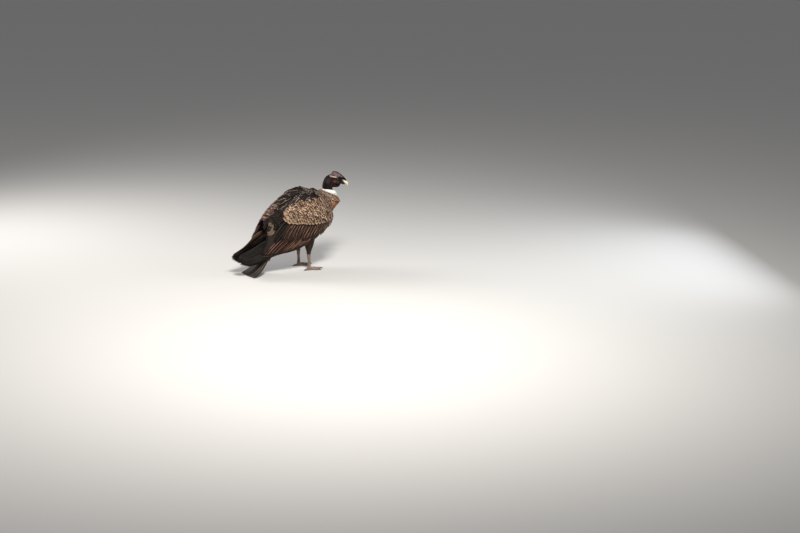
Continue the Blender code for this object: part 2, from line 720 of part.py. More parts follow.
def make_comb(head, bill):
    """The fleshy comb of a male, in folds, from behind the crown to the bill's cere."""
    knots = (-0.048, -0.040, -0.020, 0.008, 0.036, 0.064, 0.084, 0.094)
    top = (0.0400, 0.0600, 0.0705, 0.0675, 0.0560, 0.0400, 0.0260, 0.0130)
    thick = (0.0030, 0.0062, 0.0078, 0.0082, 0.0078, 0.0070, 0.0058, 0.0030)
    foot = (0.0280, 0.0200, 0.0160, 0.0160, 0.0140, 0.0060, 0.0030, 0.0030)
    x = np.linspace(knots[0], knots[-1], 17)
    crest = eased(knots, top, x) + 0.0011 * np.sin(x * 430)
    half = eased(knots, thick, x)
    base = eased(knots, foot, x)
    rings = []
    angles = np.linspace(0, 2 * math.pi, 12, endpoint=False)
    for i in range(len(x)):
        sine, cosine = np.sin(angles), np.cos(angles)
        middle = (crest[i] + base[i]) / 2
        tall = (crest[i] - base[i]) / 2
        rise = np.sign(sine) * np.abs(sine) ** 0.72
        share = (rise + 1) / 2
        bulge = half[i] * (1.10 - 0.45 * share) * (1 + 0.16 * np.sin(x[i] * 300 + 5 * share))
        sway = 0.0022 * share * math.sin(x[i] * 120)
        rings.append(np.stack([0 * sine + x[i], cosine * bulge + sway, middle + tall * rise], -1))
    comb = tube("comb", on_head(np.array(rings)))
    return cut(comb, swollen(head), swollen(bill, 4 * GAP))


def make_ruff(torso, neck):
    """A band round the neck's foot, and two rows of flat locks that bend outwards and down over it."""
    centre = np.array(RUFF_PLACE)
    section = [(0.0370, -0.030), (0.0370, 0.010), (0.0480, 0.013), (0.0580, 0.003), (0.0610, -0.014), (0.0540, -0.034)]
    points, faces = [], []
    around = 22
    for i in range(around):
        a = 2 * math.pi * i / around
        for out, up in section:
            points.append(centre + np.array([out * math.cos(a), out * math.sin(a), up - RUFF_LEAN * out * math.cos(a)]))
    n = len(section)
    for i in range(around):
        p, q = i * n, ((i + 1) % around) * n
        for j in range(n):
            k = (j + 1) % n
            faces.append((p + j, q + j, q + k, p + k))
    core = mesh_object("ruff", points, faces)
    locks = []
    for row, (shift, high, size) in enumerate(((0.0, 0.0, 1.00), (0.5, 0.0085, 0.70))):
        for i in range(RUFF_LOCKS):
            a = 2 * math.pi * (i + shift) / RUFF_LOCKS
            out = np.array([math.cos(a), math.sin(a), -RUFF_LEAN * math.cos(a)])
            along = np.array([-math.sin(a), math.cos(a), RUFF_LEAN * math.sin(a)])
            share = np.linspace(0, 1, 4)
            long = size * (0.84 + 0.26 * math.cos(a))
            reach = 0.046 + (0.030 * long + 0.002 * math.sin(3 * a + row)) * share**0.9
            rise = high - 0.005 + 0.018 * share * long - 0.034 * share**2 * long
            line = centre + out * reach[:, None] + np.array([0.0, 0.0, 1.0]) * rise[:, None]
            run = unit(np.gradient(line, axis=0))
            normal = unit(np.cross(run, along))
            wide = 0.0125 * np.array([0.5, 0.85, 0.90, 0.22])
            outer, inner = [], []
            for column in (-1.0, 1.0):
                offset = wide * column
                lift = offset * math.tan(math.radians(13))
                place = line + along * offset[:, None] + normal * lift[:, None]
                outer.append(place + normal * 0.0007)
                inner.append(place - normal * 0.0007)
            locks.append(plate(f"lock_{row}_{i}", np.stack(outer, 1), np.stack(inner, 1)))
    ruff = joined(core, locks)
    return cut(ruff, swollen(neck), swollen(torso))


# Legs and feet


def upright(name, table, side, around=16):
    """A limb from its top down: rows of x, y outwards, z, half depth and half width."""
    rows = np.asarray(table, float)
    centres = rows[:, :3] * np.array([1.0, side, 1.0])
    angles = np.linspace(0, 2 * math.pi, around, endpoint=False)
    ring = np.stack([np.cos(angles), np.sin(angles)], -1)
    rings = centres[:, None] + np.concatenate([rows[:, None, 3:5] * ring, np.zeros((len(rows), around, 1))], -1)
    return tube(name, rings)


def make_thigh(name, side):
    x, y, z = HEEL
    rows = smooth_rows([
        (0.012, 0.074, 0.320, 0.052, 0.040),
        (0.004, 0.080, 0.262, 0.048, 0.042),
        (0.000, 0.084, 0.205, 0.034, 0.032),
        (-0.003, 0.086, 0.165, 0.0205, 0.0200),
        (x, y, z, 0.0165, 0.0165),
    ], 8)
    return upright("thigh_" + name, rows, side, 14)


def make_shank(name, side):
    x, y, z = HEEL
    rows = smooth_rows([
        (x, y, z - GAP, 0.0160, 0.0160),
        (x + 0.001, y, z - 0.020, 0.0150, 0.0145),
        (x + 0.002, y + 0.0005, z - 0.050, 0.0118, 0.0112),
        (0.000, FOOT_SPREAD, 0.062, 0.0116, 0.0112),
        (0.000, FOOT_SPREAD, 0.0363, 0.0135, 0.0140),
    ], 8)
    rows[-1, 2] = 0.036 + GAP
    return upright("shank_" + name, rows, side, 12)


def toe_frame(side, heading):
    """The unit direction of a toe on the floor, and the level direction across it."""
    a = math.radians(heading) * side
    return np.array([math.cos(a), math.sin(a), 0.0]), np.array([-math.sin(a), math.cos(a), 0.0])


def level_limb(name, side, run, across, ahead, height, radius, under, around):
    """A toe or claw along the floor from the foot's middle, in upright rings of the given radius."""
    start_at = np.array([0.0, side * FOOT_SPREAD, 0.0])
    up = np.array([0.0, 0.0, 1.0])
    centres = start_at + run * ahead[:, None] + up * height[:, None]
    angles = np.linspace(0, 2 * math.pi, around, endpoint=False)
    tall = radius[:, None] * np.where(np.sin(angles) > 0, 1.0, under) * np.sin(angles)
    rings = (
        centres[:, None]
        + (radius[:, None] * np.cos(angles))[..., None] * across
        + tall[..., None] * up
    )
    return tube(name, rings)


def make_foot(name, side):
    """The ankle's pad and four toes, in knuckles, with their soles cut flat at the floor."""
    hub = upright("foot_" + name, [
        (0.0, FOOT_SPREAD, 0.0360, 0.0135, 0.0140),
        (0.0, FOOT_SPREAD, 0.0270, 0.0150, 0.0155),
        (0.001, FOOT_SPREAD, 0.0160, 0.0180, 0.0185),
        (0.002, FOOT_SPREAD, 0.0060, 0.0185, 0.0190),
        (0.002, FOOT_SPREAD, -0.0030, 0.0150, 0.0155),
    ], side, 12)
    toes = []
    for label, heading, length, joints in TOES:
        run, across = toe_frame(side, heading)
        count = joints * 2 + 3
        share = np.linspace(0, 1, count)
        radius = TOE_RADIUS * (1.06 - 0.30 * share) * (1 + 0.10 * np.cos(2 * math.pi * joints * share))
        height = 0.0105 - 0.0032 * share + 0.0045 * np.sin(math.pi * share) ** 2 * 0.4
        radius[-1] = 0.0068
        toes.append(level_limb("toe_" + label, side, run, across, share * length, height, radius, 1.12, 8))
    foot = joined(hub, toes)
    return cut(foot, box_object("floor_cut", (-1, -1, -1), (1, 1, 0)))


def make_claw(name, side, label, heading, length):
    run, across = toe_frame(side, heading)
    share = np.linspace(0, 1, 5)
    ahead = length + GAP + CLAW_LENGTH * share * (0.8 if label == "hind" else 1)
    height = eased(np.linspace(0, 1, 6), (0.0073, 0.0076, 0.0071, 0.0058, 0.0040, 0.0022), share)
    radius = eased(np.linspace(0, 1, 6), (0.0055, 0.0052, 0.0045, 0.0036, 0.0025, 0.0012), share)
    return level_limb(f"claw_{label}_{name}", side, run, across, ahead, height, radius, 1.0, 7)


# The whole bird


def clear_scene():
    for old in list(bpy.data.objects):
        bpy.data.objects.remove(old)


def stood_on_origin(condor):
    """Moves the empty so that the origin is the middle of the model's footprint."""
    points = np.concatenate([
        np.array([vert.co[:] for vert in child.data.vertices]) for child in condor.children if child.data
    ])
    low, high = points.min(0), points.max(0)
    condor.location = (-(low[0] + high[0]) / 2, -(low[1] + high[1]) / 2, 0)


def main():
    clear_scene()
    condor = bpy.data.objects.new("condor", None)
    bpy.context.scene.collection.objects.link(condor)
    torso = make_torso()
    thighs = {name: make_thigh(name, side) for name, side in SIDES}
    for name, side in SIDES:
        wing = cut(make_wing(side), swollen(torso, 3 * GAP), swollen(thighs[name], 3 * GAP))
        finished(wing, BROWN, 0.7, condor)
        finished(cut(thighs[name], swollen(torso)), BLACK_BROWN, 0.8, condor)
        finished(make_shank(name, side), LEG_SKIN, 0.6, condor)
        finished(make_foot(name, side), LEG_SKIN, 0.6, condor)
        for label, heading, length, _ in TOES:
            finished(make_claw(name, side, label, heading, length), HORN_DARK, 0.4, condor)
        x, y, z = EYE_PLACE
        eye = ball("eye_" + name, (x, side * y, z), (EYE_RADIUS,) * 3, (math.pi / 2, 0, 0), 12, 8)
        finished(eye, EYE_BROWN, 0.1, condor)
    ends = [part[0] for part in spine_at(np.array([0.0]))[:3]]
    finished(make_tail(ends), BLACK_BROWN, 0.6, condor)
    neck = cut(make_neck(), swollen(torso))
    finished(make_ruff(torso, neck), WHITE_DOWN, 0.9, condor)
    finished(neck, BARE_SKIN, 0.6, condor)
    bill = make_bill_upper()
    plain_head = head_form()
    finished(make_comb(plain_head, bill), COMB_SKIN, 0.6, condor)
    bpy.data.objects.remove(plain_head)
    finished(make_head(), BARE_SKIN, 0.6, condor)
    finished(bill, HORN_PALE, 0.35, condor)
    finished(make_bill_lower(), HORN_DARK, 0.35, condor)
    finished(torso, BROWN, 0.8, condor)
    stood_on_origin(condor)


main()
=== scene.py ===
# The looks of a young male andean condor at rest with its wings folded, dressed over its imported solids.
# Every place is in metres round a point on the floor between the feet: +X ahead, +Y the bird's left.
import math

import bpy
import numpy as np
from mathutils import Euler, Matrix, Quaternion, Vector


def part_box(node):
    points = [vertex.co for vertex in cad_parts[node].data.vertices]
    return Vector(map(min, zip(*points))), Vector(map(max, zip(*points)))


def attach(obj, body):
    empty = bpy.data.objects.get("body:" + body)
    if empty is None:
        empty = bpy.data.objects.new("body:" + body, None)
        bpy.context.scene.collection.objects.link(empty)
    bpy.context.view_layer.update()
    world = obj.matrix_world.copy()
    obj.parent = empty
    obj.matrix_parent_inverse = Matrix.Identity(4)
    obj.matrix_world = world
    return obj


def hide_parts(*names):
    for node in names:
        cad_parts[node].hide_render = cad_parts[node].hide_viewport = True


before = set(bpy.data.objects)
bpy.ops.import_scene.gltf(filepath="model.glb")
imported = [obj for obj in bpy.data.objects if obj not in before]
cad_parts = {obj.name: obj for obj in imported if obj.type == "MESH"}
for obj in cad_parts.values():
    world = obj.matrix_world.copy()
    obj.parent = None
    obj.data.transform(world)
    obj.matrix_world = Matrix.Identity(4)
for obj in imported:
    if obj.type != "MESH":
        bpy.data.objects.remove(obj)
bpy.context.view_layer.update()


# The bird's own frame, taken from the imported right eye.
# The head is turned 20 degrees to the bird's right and carried with the bill a little down.
# The eyeball is 17 mm across and sits in the side of the skull.
HEAD_PLACE = np.array([0.302, 0.0, 0.719])
HEAD_TURN = np.array(Euler((0.0, math.radians(13), math.radians(-20))).to_matrix())
EYE_PLACE = np.array([0.011, 0.0262, 0.008])
EYE_RADIUS = 0.0083


def on_head(points):
    """Points of the head's own frame (x to the bill's tip, z up) carried to the bird: p R' + place."""
    return np.asarray(points, float) @ HEAD_TURN.T + HEAD_PLACE


def head_frame(points):
    """The opposite: (p - place) R."""
    return (np.asarray(points, float) - HEAD_PLACE) @ HEAD_TURN


low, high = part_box("eye_right")
SHIFT = (np.array(low) + np.array(high)) / 2 - on_head(EYE_PLACE * [1, -1, 1])


def eased(knots, values, at):
    """A smooth curve through values at knots: a cubic in each span, with slopes from the neighbours."""
    knots, values, at = (np.asarray(a, float) for a in (knots, values, at))
    slopes = np.gradient(values, knots)
    i = np.clip(np.searchsorted(knots, at, side="right") - 1, 0, len(knots) - 2)
    width = knots[i + 1] - knots[i]
    u = (at - knots[i]) / width
    rise = values[i + 1] - values[i]
    start, end = slopes[i] * width, slopes[i + 1] * width
    return values[i] + u * (start + u * (3 * rise - 2 * start - end + u * (start + end - 2 * rise)))


def unit(vectors):
    """Each vector divided by its length."""
    return vectors / np.maximum(np.linalg.norm(vectors, axis=-1, keepdims=True), 1e-12)


def ramp(value, low, high):
    """0 below low, 1 above high, and 3t^2 - 2t^3 between."""
    t = np.clip((np.asarray(value, float) - low) / (high - low), 0, 1)
    return t * t * (3 - 2 * t)


def mixed(a, b, share):
    """a where share is 0 and b where it is 1, for colours or places."""
    share = np.asarray(share, float)[..., None]
    return np.asarray(a, float) * (1 - share) + np.asarray(b, float) * share


def grid(u, v):
    """Two arrays of rows by columns, with u going down the rows and v along the columns."""
    return np.meshgrid(u, v, indexing="ij")


def full_turn(count):
    """Angles spaced evenly round a circle: 2 pi k / count."""
    return np.linspace(0, 2 * math.pi, count, endpoint=False)


def tube_faces(rows, around):
    """Quads between neighbouring rings, and the two rings that close the ends as flat faces."""
    i, j = grid(np.arange(rows - 1), np.arange(around))
    k = (j + 1) % around
    quads = np.stack([i * around + j, i * around + k, (i + 1) * around + k, (i + 1) * around + j], -1)
    last = (rows - 1) * around
    return quads.reshape(-1, 4), [list(range(around))[::-1], list(range(last, last + around))]


def mesh_piece(name, points, faces):
    """A smooth-shaded object from points in the bird's frame and a list of faces that point outwards."""
    mesh = bpy.data.meshes.new(name)
    mesh.from_pydata((np.asarray(points).reshape(-1, 3) + SHIFT).tolist(), [], faces)
    mesh.update()
    mesh.shade_smooth()
    made = bpy.data.objects.new(name, mesh)
    bpy.context.scene.collection.objects.link(made)
    return made


def swept(centres, sides, over, under, halves, around, square=1.0):
    """Rings along a line: centre + (over or under) sin(a) up + half cos(a) side, up square to the line.

    square under 1 makes the section fuller at its corners: each of sin and cos to that power."""
    centres = np.asarray(centres, float)
    run = unit(np.gradient(centres, axis=0))
    up = unit(np.cross(run, np.asarray(sides, float)))
    side = np.cross(up, run)
    a = full_turn(around)
    sine = np.sign(np.sin(a)) * np.abs(np.sin(a)) ** square
    cosine = np.sign(np.cos(a)) * np.abs(np.cos(a)) ** square
    height = np.where(sine > 0, np.asarray(over)[:, None], np.asarray(under)[:, None]) * sine
    width = np.asarray(halves)[:, None] * cosine
    return centres[:, None] + height[..., None] * up[:, None] + width[..., None] * side[:, None]


def rows_of(table, count):
    """A table's rows eased into count rows."""
    table = np.asarray(table, float)
    at = np.linspace(0, len(table) - 1, count)
    return np.stack([eased(np.arange(len(table)), column, at) for column in table.T], -1)


def as_tube(rings):
    """Rings of points as (points, faces)."""
    quads, ends = tube_faces(*rings.shape[:2])
    return rings.reshape(-1, 3), quads.tolist() + ends


def fused(name, shapes, voxel, smoothing):
    """One closed surface round all the shapes: they are joined, remeshed in cells of voxel and smoothed."""
    points, faces, start = [], [], 0
    for shape_points, shape_faces in shapes:
        points.append(shape_points)
        faces += [[start + k for k in face] for face in shape_faces]
        start += len(shape_points)
    made = mesh_piece(name, np.concatenate(points), faces)
    remesh = made.modifiers.new("skin", "REMESH")
    remesh.mode = "VOXEL"
    remesh.voxel_size = voxel
    soft = made.modifiers.new("soft", "SMOOTH")
    soft.factor = 0.5
    soft.iterations = smoothing
    bpy.context.view_layer.update()
    mesh = bpy.data.meshes.new_from_object(made.evaluated_get(bpy.context.evaluated_depsgraph_get()))
    bpy.data.objects.remove(made)
    mesh.name = name
    return mesh


def arrays_of(mesh):
    """A mesh's points in the bird's frame, its point normals and its faces."""
    points = np.empty(len(mesh.vertices) * 3)
    mesh.vertices.foreach_get("co", points)
    normals = np.empty(len(mesh.vertices) * 3)
    mesh.vertex_normals.foreach_get("vector", normals)
    faces = np.empty(len(mesh.polygons) * 4, int)
    mesh.polygons.foreach_get("vertices", faces)
    return points.reshape(-1, 3) - SHIFT, normals.reshape(-1, 3), faces.reshape(-1, 4)


# The body's skin under its feathers: torso, arms, thighs and the root of the tail.
# The torso is egg-shaped sections carried along the spine, from the tail root to the neck root.
# The coat of feathers is 9 mm deep over it.
SPINE_X = (-0.262, -0.170, -0.060, 0.062, 0.150, 0.208, 0.232)
SPINE_Z = (0.262, 0.325, 0.402, 0.470, 0.518, 0.562, 0.610)
DEPTH_BACK = (0.045, 0.098, 0.152, 0.178, 0.170, 0.144, 0.086)
BELLY_KNOTS = (0, 0.167, 0.333, 0.5, 0.667, 0.75, 0.833, 0.90, 1)
DEPTH_BELLY = (0.045, 0.112, 0.162, 0.166, 0.122, 0.106, 0.101, 0.119, 0.090)
HALF_WIDTH = (0.050, 0.098, 0.140, 0.153, 0.136, 0.104, 0.074)
COAT_DEPTH = 0.009


def body_chart(s, a):
    """The coat's surface: s from tail root to neck root, a round it from the left (0) over the back (pi/2).

    centre(s) + depth sin(a) back(s) + width cos(a) y, with one depth over the spine and one under it."""
    s, a = np.broadcast_arrays(np.asarray(s, float), np.asarray(a, float))
    knots = np.linspace(0, 1, len(SPINE_X))
    step = 1e-3
    dx = eased(knots, SPINE_X, s + step) - eased(knots, SPINE_X, s - step)
    dz = eased(knots, SPINE_Z, s + step) - eased(knots, SPINE_Z, s - step)
    ahead = unit(np.stack([dx, dz], -1))
    over, under = eased(knots, DEPTH_BACK, s), eased(BELLY_KNOTS, DEPTH_BELLY, s)
    depth = np.where(np.sin(a) > 0, over, under) * np.sin(a)
    x = eased(knots, SPINE_X, s) - depth * ahead[..., 1]
    z = eased(knots, SPINE_Z, s) + depth * ahead[..., 0]
    return np.stack([x, eased(knots, HALF_WIDTH, s) * np.cos(a), z], -1)


WING_FRONT = (0.205, 0.500)
WING_SLOPE = math.radians(29)
WING_KNOTS = (0.00, 0.05, 0.15, 0.30, 0.45, 0.60, 0.75, 0.90, 1.00)
WING_OUT = (0.118, 0.152, 0.180, 0.184, 0.164, 0.130, 0.099, 0.074, 0.064)
WING_RIDGE = (0.085, 0.095, 0.096, 0.090, 0.076, 0.057, 0.042, 0.034, 0.032)
WING_CENTRE = (0.020, 0.040, 0.070, 0.080, 0.080, 0.068, 0.052, 0.066, 0.076)
WING_RISE = (0.110, 0.167, 0.191, 0.180, 0.164, 0.120, 0.080, 0.070, 0.062)
WING_FALL = (0.085, 0.145, 0.212, 0.232, 0.210, 0.148, 0.100, 0.080, 0.074)


def wing_chart(side):
    """The folded wing's shell on one side, as a function of the way along it and the angle round it.

    height = centre + (rise or fall) sin(angle) and y = ridge + (out - ridge) cos(angle), laid back by
    29 degrees."""

    def chart(along, angle):
        along, angle = np.broadcast_arrays(np.asarray(along, float), np.asarray(angle, float))
        out, ridge, centre, rise, fall = (
            eased(WING_KNOTS, values, along)
            for values in (WING_OUT, WING_RIDGE, WING_CENTRE, WING_RISE, WING_FALL)
        )
        height = centre + np.where(np.sin(angle) > 0, rise, fall) * np.sin(angle)
        x = WING_FRONT[0] - math.cos(WING_SLOPE) * along - math.sin(WING_SLOPE) * height
        z = WING_FRONT[1] - math.sin(WING_SLOPE) * along + math.cos(WING_SLOPE) * height
        return np.stack([x, side * (ridge + (out - ridge) * np.cos(angle)), z], -1)

    return chart


THIGH = (
    (0.012, 0.074, 0.320, 0.052, 0.040),
    (0.004, 0.080, 0.262, 0.048, 0.042),
    (0.000, 0.084, 0.205, 0.034, 0.032),
    (-0.003, 0.086, 0.165, 0.0205, 0.0200),
    (-0.004, 0.087, 0.142, 0.0165, 0.0165),
)


def thigh_chart(side):
    """The thigh's coat: t from the hip down to the heel and a round it, as level ellipses."""

    def chart(t, a):
        t, a = np.broadcast_arrays(np.asarray(t, float), np.asarray(a, float))
        x, y, z, deep, wide = (eased(np.linspace(0, 1, len(THIGH)), column, t) for column in zip(*THIGH))
        return np.stack([x + deep * np.cos(a), side * (y + wide * np.sin(a)), z], -1)

    return chart


def grown(chart, u, v, by):
    """The chart's points moved along its outward normal."""
    place, _, _, out = chart_frame(chart, u, v)
    return place + out * np.broadcast_to(by, place.shape[:-1])[..., None]


def chart_frame(chart, u, v, step=1e-4):
    """The chart's point, its two slopes and the unit normal that points out of the piece."""
    place = chart(u, v)
    by_u = (chart(u + step, v) - chart(u - step, v)) / (2 * step)
    by_v = (chart(u, v + step) - chart(u, v - step)) / (2 * step)
    out = unit(np.cross(by_u, by_v))
    return place, by_u, by_v, out * chart.outward if hasattr(chart, "outward") else out


def outward(chart, u, v, inside):
    """Marks on the chart which way its normal points out, seen from a point inside it."""
    place, _, _, out = chart_frame(chart, np.array([u]), np.array([v]))
    chart.outward = 1.0 if ((place[0] - np.asarray(inside)) * out[0]).sum() > 0 else -1.0
    return chart


SIDES = (("left", 1), ("right", -1))
outward(body_chart, 0.5, 0.3, (0.06, 0, 0.47))
WING = {name: outward(wing_chart(side), 0.3, 0.2, (0.0, side * 0.05, 0.40)) for name, side in SIDES}
THIGHS = {name: outward(thigh_chart(side), 0.4, 0.2, (0.0, side * 0.082, 0.24)) for name, side in SIDES}

torso_rings = body_chart(*grid(np.linspace(0, 1, 60), full_turn(64)))
centre_line = torso_rings.mean(1, keepdims=True)
torso_rings = torso_rings + unit(centre_line - torso_rings) * COAT_DEPTH
body_shapes = [as_tube(torso_rings)]
for name, side in SIDES:
    along, angle = grid(np.linspace(0.01, 0.47, 24), np.radians(np.linspace(112, -42, 20)))
    outer = grown(WING[name], along, angle, -0.010)
    thin = eased((0.0, 0.05, 0.2, 0.35, 0.5), (0.3, 1.0, 1.0, 0.6, 0.15), along)
    inner = grown(WING[name], along, angle, -0.014 - 0.030 * thin)
    shell = np.concatenate([outer, inner[:, ::-1]], 1)
    body_shapes.append(as_tube(shell))
    down, turn = grid(np.linspace(0, 1, 24), full_turn(28))
    thigh_rings = THIGHS[name](down, turn)
    inwards = thigh_rings.mean(1, keepdims=True) - thigh_rings
    body_shapes.append(as_tube(thigh_rings + inwards * ramp(down, 1.0, 0.75)[..., None] * 0.16))
body_mesh = fused("body", body_shapes, 0.0070, 2)


# The bare head and neck: thick folded skin, almost black, with a fleshy comb, wattles, lips and lids.
# The neck and head are one tube of rounded sections from the collar to the root of the bill.
# The comb runs from behind the crown to the bill; the face has folds and small lumps.
NECK_AND_HEAD = (
    (0.2330, 0.0000, 0.5900, 0.0440, 0.0440, 0.0450),
    (0.2310, 0.0000, 0.6220, 0.0430, 0.0430, 0.0435),
    (0.2255, 0.0005, 0.6500, 0.0415, 0.0420, 0.0420),
    (0.2240, 0.0015, 0.6740, 0.0412, 0.0410, 0.0412),
    (0.2310, 0.0030, 0.6960, 0.0410, 0.0395, 0.0402),
    (0.2480, 0.0080, 0.7180, 0.0425, 0.0420, 0.0395),
    (0.2740, 0.0085, 0.7270, 0.0390, 0.0455, 0.0365),
    (0.2974, 0.0017, 0.7201, 0.0345, 0.0460, 0.0340),
    (0.3185, -0.0060, 0.7152, 0.0318, 0.0410, 0.0312),
    (0.3355, -0.0122, 0.7106, 0.0262, 0.0330, 0.0252),
    (0.3492, -0.0172, 0.7068, 0.0182, 0.0196, 0.0176),
)
EAR_PLACE = np.array([-0.019, 0.0365, -0.006])
COMB_X = (-0.048, -0.040, -0.020, 0.008, 0.036, 0.064, 0.084, 0.094)
COMB_TOP = (0.0395, 0.0590, 0.0698, 0.0668, 0.0552, 0.0394, 0.0256, 0.0130)
COMB_FOOT = (0.0260, 0.0190, 0.0150, 0.0150, 0.0130, 0.0060, 0.0040, 0.0060)
COMB_HALF = (0.0026, 0.0056, 0.0070, 0.0074, 0.0070, 0.0064, 0.0052, 0.0026)

rows = rows_of(NECK_AND_HEAD, 72)
facing = np.clip((rows[:, 0] - 0.235) / 0.05, 0, 1)[:, None] * (rows[:, 2:3] > 0.69)
sides = unit(np.array([0.0, 1.0, 0.0]) * (1 - facing) + HEAD_TURN[:, 1] * facing)
head_shapes = [as_tube(swept(rows[:, :3], sides, rows[:, 3], rows[:, 4], rows[:, 5], 56))]

x = np.linspace(COMB_X[0], COMB_X[-1], 70)
a = full_turn(30)
crest = eased(COMB_X, COMB_TOP, x) + 0.0010 * np.sin(x * 430) + 0.0006 * np.sin(x * 970 + 1)
foot = eased(COMB_X, COMB_FOOT, x)
share = (np.sign(np.sin(a)) * np.abs(np.sin(a)) ** 0.72 + 1) / 2
bulge = eased(COMB_X, COMB_HALF, x)[:, None] * (1.25 - 0.62 * share)
bulge = bulge * (1 + 0.17 * np.sin(x[:, None] * 300 + 5 * share))
sway = 0.0020 * share * np.sin(x * 120)[:, None]
comb = np.stack([
    np.broadcast_to(x[:, None], bulge.shape),
    np.cos(a) * bulge + sway,
    foot[:, None] + (crest - foot)[:, None] * share,
], -1)
head_shapes.append(as_tube(on_head(comb)))


def soft_cord(line, thick, tall=1.0, flat=1.0, side=1, around=14):
    """A soft cord of the head's frame along a line of points on the left, mirrored for the right."""
    line = np.asarray(line, float) * [1, side, 1]
    across = np.tile(HEAD_TURN[:, 1], (len(line), 1))
    return as_tube(swept(on_head(line), across, thick * tall, thick * tall, thick * flat, around))


def lump(place, radii, side=1, around=16, rows=9):
    """A small ellipsoid of the head's frame."""
    tall = np.linspace(0.02, math.pi - 0.02, rows)[:, None]
    a = full_turn(around)
    ball = np.stack([np.sin(tall) * np.cos(a), np.sin(tall) * np.sin(a), np.cos(tall) + 0 * a], -1)
    return as_tube(on_head((ball * radii + place) * [1, side, 1]))


def thickness(knots, radii, count):
    """A cord's radius at each of count points, eased through radii at knots."""
    return eased(knots, radii, np.arange(count))


THROAT = ((0.040, 0.0, -0.024), (0.022, 0.0, -0.033), (-0.004, 0.0, -0.042), (-0.034, 0.0, -0.052),
          (-0.060, 0.0, -0.070))
LIP = ((0.012, 0.0335, -0.0100), (0.026, 0.0296, -0.0112), (0.038, 0.0240, -0.0124),
       (0.047, 0.0190, -0.0130), (0.0525, 0.0160, -0.0134))
LIP_GAP = np.array([0, 0, 0.0023])
WATTLE = ((0.047, 0.006, -0.027), (0.030, 0.013, -0.041), (0.010, 0.017, -0.048), (-0.012, 0.016, -0.052))
BROW = ((-0.010, 0.0315, 0.0165), (0.004, 0.0312, 0.0190), (0.018, 0.0285, 0.0185), (0.031, 0.0235, 0.0150))
CHEEK = ((-0.012, 0.0345, -0.019), (0.006, 0.0335, -0.0245), (0.024, 0.0275, -0.0235),
         (0.040, 0.0190, -0.0205))
WARTS = 9

thick = thickness((0, 5, 14, 22, 29), (0.004, 0.0105, 0.0190, 0.0220, 0.0140), 30)
head_shapes.append(soft_cord(rows_of(THROAT, 30), thick, 1.1, 1.0, 1, 24))
for name, side in SIDES:
    lip = rows_of(LIP, 16)
    thick = thickness((0, 8, 15), (0.0012, 0.0026, 0.0024), 16)
    head_shapes.append(soft_cord(lip + LIP_GAP, thick, side=side))
    head_shapes.append(soft_cord(lip - LIP_GAP, thick, side=side))
    beads = 1 + 0.12 * np.sin(np.arange(30) * 1.25)
    thick = thickness((0, 6, 15, 24, 29), (0.002, 0.0082, 0.0100, 0.0086, 0.003), 30) * beads
    head_shapes.append(soft_cord(rows_of(WATTLE, 30), thick, 1.2, 0.75, side, 20))
    thick = thickness((0, 7, 13), (0.0012, 0.0030, 0.0014), 14)
    head_shapes.append(soft_cord(rows_of(BROW, 14), thick, side=side))
    thick = thickness((0, 7, 13), (0.0014, 0.0034, 0.0016), 14)
    head_shapes.append(soft_cord(rows_of(CHEEK, 14), thick, side=side))
    for k in range(WARTS):
        turn = k * 2.4
        ahead = 0.026 + 0.013 * math.cos(turn) * (k / WARTS) ** 0.5
        place = (ahead, 0.0282 - 0.0006 * k, -0.001 + 0.008 * math.sin(turn))
        head_shapes.append(lump(place, (0.0019, 0.0016, 0.0016), side))
head_mesh = fused("head", head_shapes, 0.00125, 3)

points, normals, head_faces = arrays_of(head_mesh)
local = head_frame(points)
wave = np.sin(local @ [210, 35, 60]) * 0.5 + np.sin(local @ [95, -60, 250] + 1.3) * 0.5
folds = points[:, 2] * 620 + 2.2 * np.sin(points[:, 0] * 60 + points[:, 1] * 45)
crease = np.sin(folds) * ramp(points[:, 2], 0.715, 0.690)
depth = 0.00035 * wave + 0.0009 * crease * np.clip(0.6 + 0.4 * np.sin(points @ [70, 90, 40]), 0, 1)
points = points + normals * depth[:, None]
for name, side in SIDES:
    ear = local - EAR_PLACE * [1, side, 1]
    near = 1 - (ear[:, 0] / 0.0068) ** 2 - (ear[:, 1] / 0.014) ** 2 - (ear[:, 2] / 0.0088) ** 2
    near = np.clip(near, 0, 1)
    from_rim = (np.hypot(ear[:, 0] / 0.0085, ear[:, 2] / 0.0105) - 1) / 0.22
    rim = np.exp(-(from_rim**2)) * (np.abs(ear[:, 1]) < 0.014)
    eye = local - EYE_PLACE * [1, side, 1]
    reach = np.hypot(eye[:, 0] / 0.0072, eye[:, 2] / 0.0060)
    hole = ramp(reach, 1.15, 0.75) * (eye[:, 1] * side > -0.004)
    inward = -side * HEAD_TURN[:, 1]
    points = points + inward * (0.0060 * near ** 0.7 - 0.0011 * rim + 0.0060 * hole)[:, None]


LID_ROWS, LID_AROUND = 14, 56


